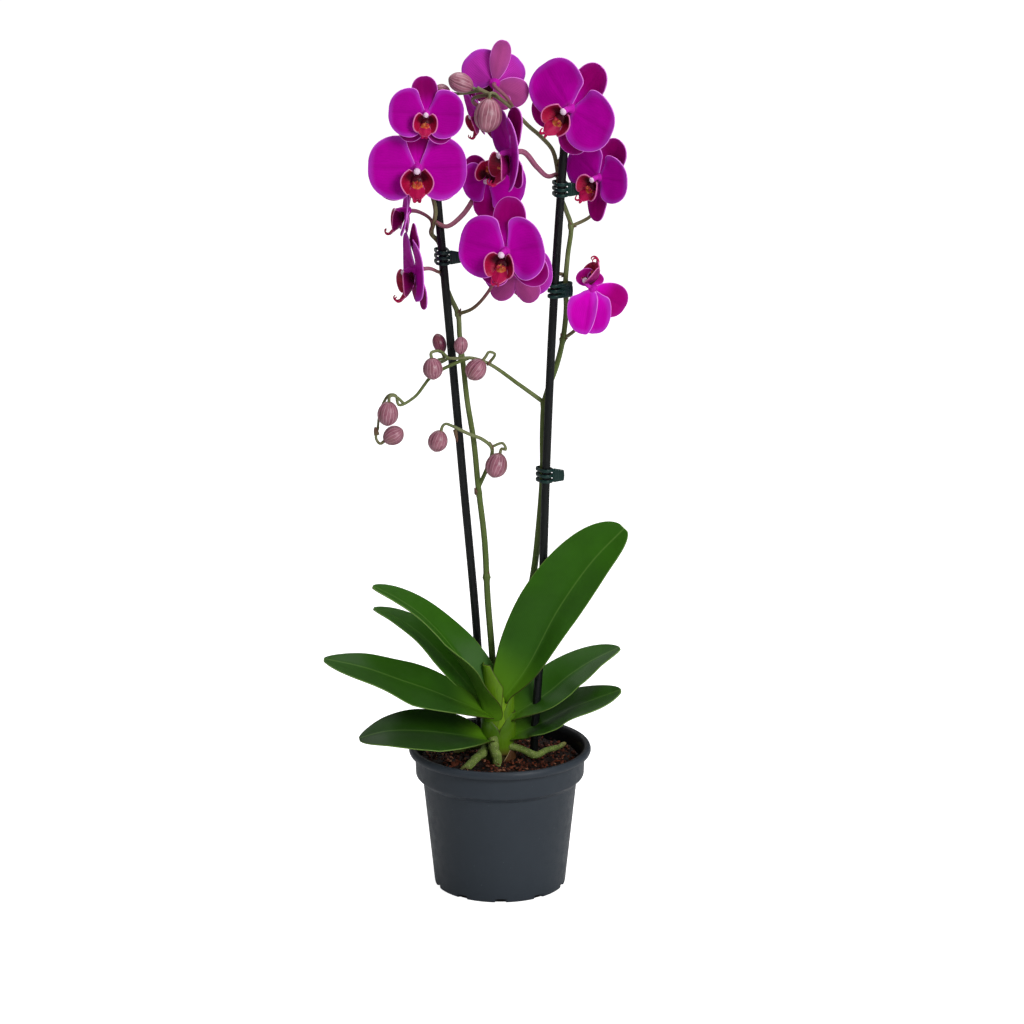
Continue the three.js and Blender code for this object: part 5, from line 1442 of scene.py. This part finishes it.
# %% [markdown]
# The petals are magenta-purple, brightest near the hub and more violet towards the margin, which is a pale
# thread. The sepals behind are darker and redder, and the backs are dusty pink with veins that show. A
# petal is almost free of gloss, because tiny cells on it scatter the light, so its colour stays deep. Each
# bloom's front colour is also times its depth, which is painted light and shade: a lit bloom lighter, a
# shaded one darker.

# %% Petal finish
petal_skin, tree, shader = material("petal_skin", specular_ior_level=0.03)
spot, (u, v) = position(tree), on_surface(tree)
across = math(tree, "SUBTRACT", u, 0.5)
lines = veined(tree, across, v, 22.0, 0.07, 0.45)
bright = times(tree, between(tree, "foot", 0.6, 0.05), math(tree, "MULTIPLY_ADD", "sepal", 0.3, 0.6))
rib = between(tree, math(tree, "ABSOLUTE", across), 0.07, 0.0)
throat = between(tree, "foot", 0.14, 0.03)
front = mottled(tree, spot, blended(tree, "sepal", colour(188, 0, 166), colour(158, 0, 112)), 60.0, 0.3)
front = coated(tree, front, (bright, 1, (222, 0, 200)), (lines, 0.22, (140, 0, 116)),
               (rib, 0.18, (132, 0, 104)))
# Times depth: painted light and shade, one gain for each bloom.
front = coated(tree, brightened(tree, front, "depth"), (throat, 0.3, (238, 96, 232)),
               (times(tree, throat, lines), 0.6, (124, 0, 104)))
dusty = mottled(tree, spot, blended(tree, "sepal", colour(206, 52, 192), colour(188, 78, 152)), 60.0, 0.24)
rear = coated(tree, dusty, (lines, 0.6, (124, 16, 92)))
violet = times(tree, between(tree, "edge", 5.0, 0.2), math(tree, "MULTIPLY_ADD", "sepal", -0.35, 0.45))
base = coated(tree, blended(tree, "back", front, rear), (violet, 1, (186, 74, 226)),
              (between(tree, "edge", 0.62, 0.2), 0.85, (250, 138, 250)), ("column", 1, (206, 30, 186)),
              ("cap", 1, (255, 226, 250)))
dress(tree, shader, base, spot, (2200.0, 0.55, 0.12), 0.06, lines, 0.8)
for number, parts in enumerate(petal_parts, 1):
    piece(f"bloom_{number}_flower", parts, petal_skin, [f"bloom_{number}_petals"])
print("petals dressed:", made)

# %% [markdown]
# ## The lips
# The lip is the third petal, changed into a landing place for insects: two side lobes stand up like the
# walls of a bowl, a tongue runs forward between them and ends in two hooked tendrils, and a two-humped
# callus sits where they meet. The lobes are patches of an oblong ball's surface, the tongue a long
# arrowhead.

# %% Lobes of the lip
LIP = dict(
    bowl=9.3, depth=8.0, drop=-8.2, level=2.8, thickness=0.9, spread=71, turn=94, narrow=0.06, lean=9,
    foot=12, top=92, tongue=11.0, tongue_half=6.4, tongue_root=3.6, tongue_tip=2.2, step=0.4, rise=8,
    curl=1.3, arch=1.0, shoulder=0.6, margin=0.6, corner=0.16, shrug=0.2, roll=0.9, ripple=0.3, rolled=9,
    side_margin=10, end_margin=11, tip_margin=14, keel=0.8, keel_width=1.1,
)
FLAME = dict(centre=-11.0, prong=3.4, gap=2.5, body=0.7, side=0.12)
TENDRIL = [[0.5, -18.2, 9.6], [1.0, -19.5, 11.2], [1.7, -19.9, 13], [2.2, -18.9, 14.6], [2.5, -17.1, 14.9],
           [2.6, -16.2, 13.9]]


def flame(points):
    """1 inside a crown, running out to 0 round it: its top is prong cos^2 over a body that falls off by side
    x^2, and its floor bends up at the sides."""
    x, y = points[..., 0], points[..., 1] - FLAME["centre"]
    top = FLAME["prong"] * np.cos(np.pi * x / FLAME["gap"]) ** 2 + FLAME["body"] - FLAME["side"] * x * x
    floor = FLAME["side"] * x * x - 3 * FLAME["body"]
    return smooth_step(-0.7, 0.6, top - y) * smooth_step(-0.7, 0.6, y - floor)


def bowl_point(angle, depth):
    """The point of an oblong ball at an angle round the bowl and a depth from its bottom, both in degrees,
    measured from the bowl's middle."""
    a, d = np.radians(angle), np.radians(depth)
    radius = LIP["bowl"] * np.sin(d)
    return grid(radius * np.sin(a), radius * np.cos(a), LIP["level"] + LIP["depth"] * (1 - np.cos(d)))


def lobe_patch(side, frame_at, seed):
    """A patch of the bowl, narrower and turned upwards towards its free end, whose margin rolls out."""
    s = foot_to_tip(26)[:, None]
    t = -side_to_side(25)[None]
    corner = 1 - LIP["corner"] * smooth_step(0.6, 1, np.abs(t)) * smooth_step(0.5, 1, s)
    spread = LIP["spread"] * (1 - LIP["narrow"] * s * s) * t
    depth = LIP["foot"] + (LIP["top"] - LIP["foot"]) * s * (1 - LIP["shrug"] * t * t * s)
    around = side * (LIP["turn"] - LIP["lean"] * s) + spread * corner
    # Painted shade: strongest at the lobe's foot, where it faces the column and cap, fading towards its free
    # end.
    shade_behind_cap = (1 - 0.8 * s) * smooth_step(-0.35, 0.6, np.cos(np.radians(around)))
    phase = np.random.default_rng(seed).uniform(0, 6)
    roll = LIP["roll"] * smooth_step(0.7, 1, s) + LIP["ripple"] * np.sin(5 * t + phase) * s**2
    points = bowl_point(around, depth)
    points[..., :2] *= (1 + roll / LIP["rolled"])[..., None]
    points = points + [0, LIP["drop"], 0]
    edge = np.minimum((1 - np.abs(t)) * LIP["side_margin"], (1 - s) * LIP["end_margin"])
    half = 0.5 * LIP["thickness"] * quarter_round(edge, LIP["margin"])
    return blade(in_frame(points, frame_at), half, s, t, edge=edge, deep=shade_behind_cap, warm=flame(points))


print("lobes: patches of a bowl", LIP["bowl"], "mm in radius")

# %% [markdown]
# The tongue is an arrowhead that rises towards its tip, where two tendrils hook up and back. At its root,
# the callus is a low dome with two humps, and a claw joins the whole lip to the foot of the column.

# %% Tongue, tendrils and callus
HUMP = dict(out=1.3, back=-0.6, lift=3.6, axis=[0.3, -0.35, 1], long=2.2, wide=1.2, fat=-0.2, warm=0.6)
DOME = dict(lift=1.6, long=2.4, wide=4.2, shade=2)
SLIM = dict(rings=26, start=1.15, loss=0.75, sides=10)


def tongue_patch(frame_at):
    """(t w, drop - long s, level + step + rise s^curl - arch t^2 s): w swells to the shoulders as a square
    and falls away to the tip. A keel lifts the middle."""
    s, t = np.linspace(0, 1, 34)[:, None], side_to_side(21)[None]
    root, widest, tip = (LIP[key] for key in ("tongue_root", "tongue_half", "tongue_tip"))
    shoulder = LIP["shoulder"]
    width = root + (widest - root) * np.clip(s / shoulder, 0, 1) ** 2
    width = width + (tip - widest) * np.clip((s - shoulder) / (1 - shoulder), 0, 1) ** 1.25
    keel = LIP["keel"] * bell(t * width, LIP["keel_width"]) * np.sin(np.pi * s)
    lift = LIP["level"] + LIP["step"] + LIP["rise"] * s ** LIP["curl"] - LIP["arch"] * t * t * s + keel
    points = grid(t * width, LIP["drop"] - LIP["tongue"] * s, lift)
    edge = np.minimum((1 - np.abs(t)) * width, (1 - s) * LIP["tip_margin"])
    half = 0.5 * (LIP["thickness"] + 0.5 * (1 - t * t)) * quarter_round(edge, LIP["margin"])
    # deep here is painted shade at the root of the tongue.
    return blade(in_frame(points, frame_at), half, s, t, edge=edge, deep=0.2 * (1 - s), tongue=1.0,
                 warm=flame(points))


def lip_patches(bloom, seed):
    """Two lobes, the tongue, two tendrils that hook up and back, the claw and the callus."""
    frame_at = flower_frame(bloom, lip=True)
    size, drop, level = bloom["size"], LIP["drop"], LIP["level"]
    parts = [tongue_patch(frame_at)]
    slim = size * (SLIM["start"] - SLIM["loss"] * np.linspace(0, 1, SLIM["rings"]))
    for side in (-1, 1):
        bend = in_frame(smooth_path(TENDRIL, SLIM["rings"]) * [side, 1, 1], frame_at)
        hump = in_frame([side * HUMP["out"], drop + HUMP["back"], level + HUMP["lift"]], frame_at)
        axis = frame_at[0] @ (HUMP["axis"] * np.array([side, 1, 1]))
        parts += [lobe_patch(side, frame_at, seed),
                  tube(bend, slim, SLIM["sides"], edge=1.0, tongue=1.0, deep=0.0),
                  ball_patch(hump, axis, HUMP["long"] * size, HUMP["wide"] * size, 12, 16, fat=HUMP["fat"],
                             edge=3.0, warm=HUMP["warm"])]
    claw = in_frame([[0, 0, level + 0.8], [0, drop / 2, level], [0, drop - 1, level + 0.8]], frame_at)
    # The claw is painted in full shade, deep 1.
    parts.append(tube(smooth_path(claw, 10), size * np.linspace(1.3, 2.4, 10), 12, edge=3.0, deep=1.0))
    dome = ball_patch(in_frame([0, drop, level + DOME["lift"]], frame_at), frame_at[0] @ UP,
                      DOME["long"] * size, DOME["wide"] * size, 24, 36, edge=3.0)
    local = (dome["points"] - frame_at[1]) @ frame_at[0] / size**2
    # Painted shade on the callus, on its side towards the column.
    deep = smooth_step(drop - DOME["shade"], drop + DOME["shade"], local[:, 1])
    dome["values"].update(warm=flame(local), deep=deep)
    return [*parts, dome]


print("tendril points:", len(TENDRIL))

# %% [markdown]
# The lobes are crimson with darker veins and a thin pink margin, and their outer sides are purple. Where
# they face the column, and at the claw, the root of the tongue and the back of the callus, they are painted
# almost black-red: painted shade, whose mask each point carries as deep. The tongue is a brighter pink-red.
# On the callus a small crown of orange flames with red spots marks the way in: each point carries how far
# inside the crown it lies, and a noise frays it.

# %% Lip finish
lip_skin, tree, shader = material("lip_skin", specular_ior_level=0.25)
spot, (u, v) = position(tree), on_surface(tree)
lines = veined(tree, u, v, 12.0, 0.1, 0.55)
crimson = mottled(tree, spot, blended(tree, "tongue", colour(178, 6, 66), colour(198, 8, 86)), 200.0, 0.3)
base = coated(tree, crimson, ("back", 1, (150, 12, 108)),
              # Painted shade: nearly black-red where deep is high.
              (between(tree, "deep", 0.08, 0.65), 0.92, (58, 0, 22)), (lines, 0.3, (120, 0, 30)),
              (between(tree, "edge", 0.75, 0.25), 0.85, (244, 132, 196)))
streaks = noise(tree, spot, 420.0, 3.0)
flames = blended(tree, between(tree, streaks, 0.42, 0.6), colour(226, 84, 50), colour(240, 156, 80))
flames = coated(tree, flames, (speckled(tree, spot, 1100.0, 0.34)["Mask"], 0.6, (176, 20, 30)))
warmth = math(tree, "ADD", "warm", swing(tree, streaks, 1.5))
base = blended(tree, times(tree, between(tree, warmth, 0.3, 0.95), 0.85), base, flames)
dress(tree, shader, base, spot, (1800.0, 0.42, 0.14), 0.08, lines)
for number, bloom in enumerate(BLOOMS, 1):
    parts = lip_patches(bloom, 900 + number)
    piece(f"bloom_{number}_labellum", parts, lip_skin, [f"bloom_{number}_lip"])
print("lips dressed:", made)

# %% [markdown]
# ## The buds
# A closed bud is an egg with three shallow seams where the outer sepals meet, dusty pink with darker
# stripes and fine pale lines that run from the stalk to the tip. The formula of the anther caps makes them
# too.

# %% Buds
bud_skin, tree, shader = material("bud_skin", specular_ior_level=0.55)
spot, (u, v) = position(tree), on_surface(tree)
stripes = veined(tree, u, v, 9.0, 0.4, 0.8)
lines = veined(tree, u, v, 19.0, 0.06, 0.5)
from_seam = math(tree, "SUBTRACT", math(tree, "FRACT", math(tree, "MULTIPLY_ADD", u, 3.0, 0.5)), 0.5)
seam = between(tree, math(tree, "ABSOLUTE", from_seam), 0.055, 0.01)
brown = between(tree, noise(tree, spot, 70.0, 3.0), 0.5, 0.75)
base = coated(tree, mottled(tree, spot, colour(164, 102, 120), 130.0, 0.6), (stripes, 0.5, (124, 56, 80)),
              (lines, 0.6, (226, 180, 192)), (seam, 0.6, (96, 40, 62)), ("ripe", 0.8, (126, 22, 78)),
              (brown, 0.5, (118, 84, 66)), (between(tree, v, 0.2, 0.02), 0.6, (120, 100, 70)),
              (between(tree, v, 0.9, 1.0), 0.5, (140, 60, 100)))
dress(tree, shader, base, spot, (1500.0, 0.34, 0.12), 0.07, lines)
for number, bud in enumerate(BUDS, 1):
    egg = ball_patch(bud["at"], bud["tip"], bud["long"], bud["wide"], 32, 60, grooves=3, groove=0.05,
                     point=0.1, fat=-0.1, ripe=bud.get("ripe", 0))
    piece(f"bud_{number}_egg", [egg], bud_skin, [f"bud_{number}"])
print("buds dressed:", made)

# %% [markdown]
# ## Floor, light and camera
# The plant stands on a plain pale floor that runs out of sight. Large soft lights stand in for studio
# boxes: one above and in front to the right, one overhead, and weaker ones from the left and from behind. A
# pale world fills the shadows. The floor and the world look a little brighter to the camera than the light
# alone would make them, as an overexposed backdrop does. The camera has a long lens from two and a half
# metres, and looks down by fifteen degrees.

# %% Stage
WHITE = (1, 1, 1, 1)
floor_mesh = bpy.data.meshes.new("floor")
floor_mesh.from_pydata([(-9, -6, 0), (9, -6, 0), (9, 14, 0), (-9, 14, 0)], [], [(0, 1, 2, 3)])
linked("floor", floor_mesh)
floor_paint, tree, shader = material("pale_floor", specular_ior_level=0.2, emission_color=WHITE)
spot = position(tree)
dress(tree, shader, mottled(tree, spot, colour(236, 236, 236), 3.0, 0.01), spot, (60.0, 0.8, 0.05))
fill(tree, shader, {"Emission Strength": times(tree, add(tree, "LightPath").outputs["Is Camera Ray"], 0.9)})
floor_mesh.materials.append(floor_paint)


def soft_light(name, at, aim, size, power):
    """A square lamp that faces its aim."""
    lamp = bpy.data.lights.new(name, "AREA")
    lamp.shape, lamp.size, lamp.energy = "SQUARE", size, power
    z = unit(np.array(at, float) - np.array(aim, float))
    x = unit(np.cross(UP, z))
    turn = Matrix(np.stack([x, np.cross(z, x), z], 1).tolist()).to_4x4()
    linked(name, lamp).matrix_world = Matrix.Translation(at) @ turn


soft_light("front_right_box", (1.2, -1.7, 1.4), (0, 0, 0.35), 1.0, 33)
soft_light("left_box", (-1.6, -1.2, 1.1), (0, 0, 0.35), 1.0, 2)
soft_light("top_box", (0.1, 0.35, 1.9), (0, 0, 0.3), 1.2, 14)
soft_light("back_box", (-0.7, 1.9, 1.5), (0, 0, 0.35), 1.0, 3)
world = bpy.data.worlds.new("studio")
world.use_nodes = True
tree = world.node_tree
seen = math(tree, "MULTIPLY_ADD", add(tree, "LightPath").outputs["Is Camera Ray"], 0.83, 0.17)
fill(tree, tree.nodes["Background"], {"Color": WHITE, "Strength": seen})
bpy.context.scene.world = world
bpy.context.scene.view_settings.view_transform = "Standard"

lens = bpy.data.cameras.new("camera")
lens.lens, lens.sensor_width, lens.clip_end = 137.0, 36.0, 60.0
camera = linked("camera", lens)
looking_down = 15.14
camera.location = (0.008, -2.451, 0.918)
camera.rotation_euler = (np.radians(90 - looking_down), 0, 0)
bpy.context.scene.camera = camera
print("stage set; pieces:", made)
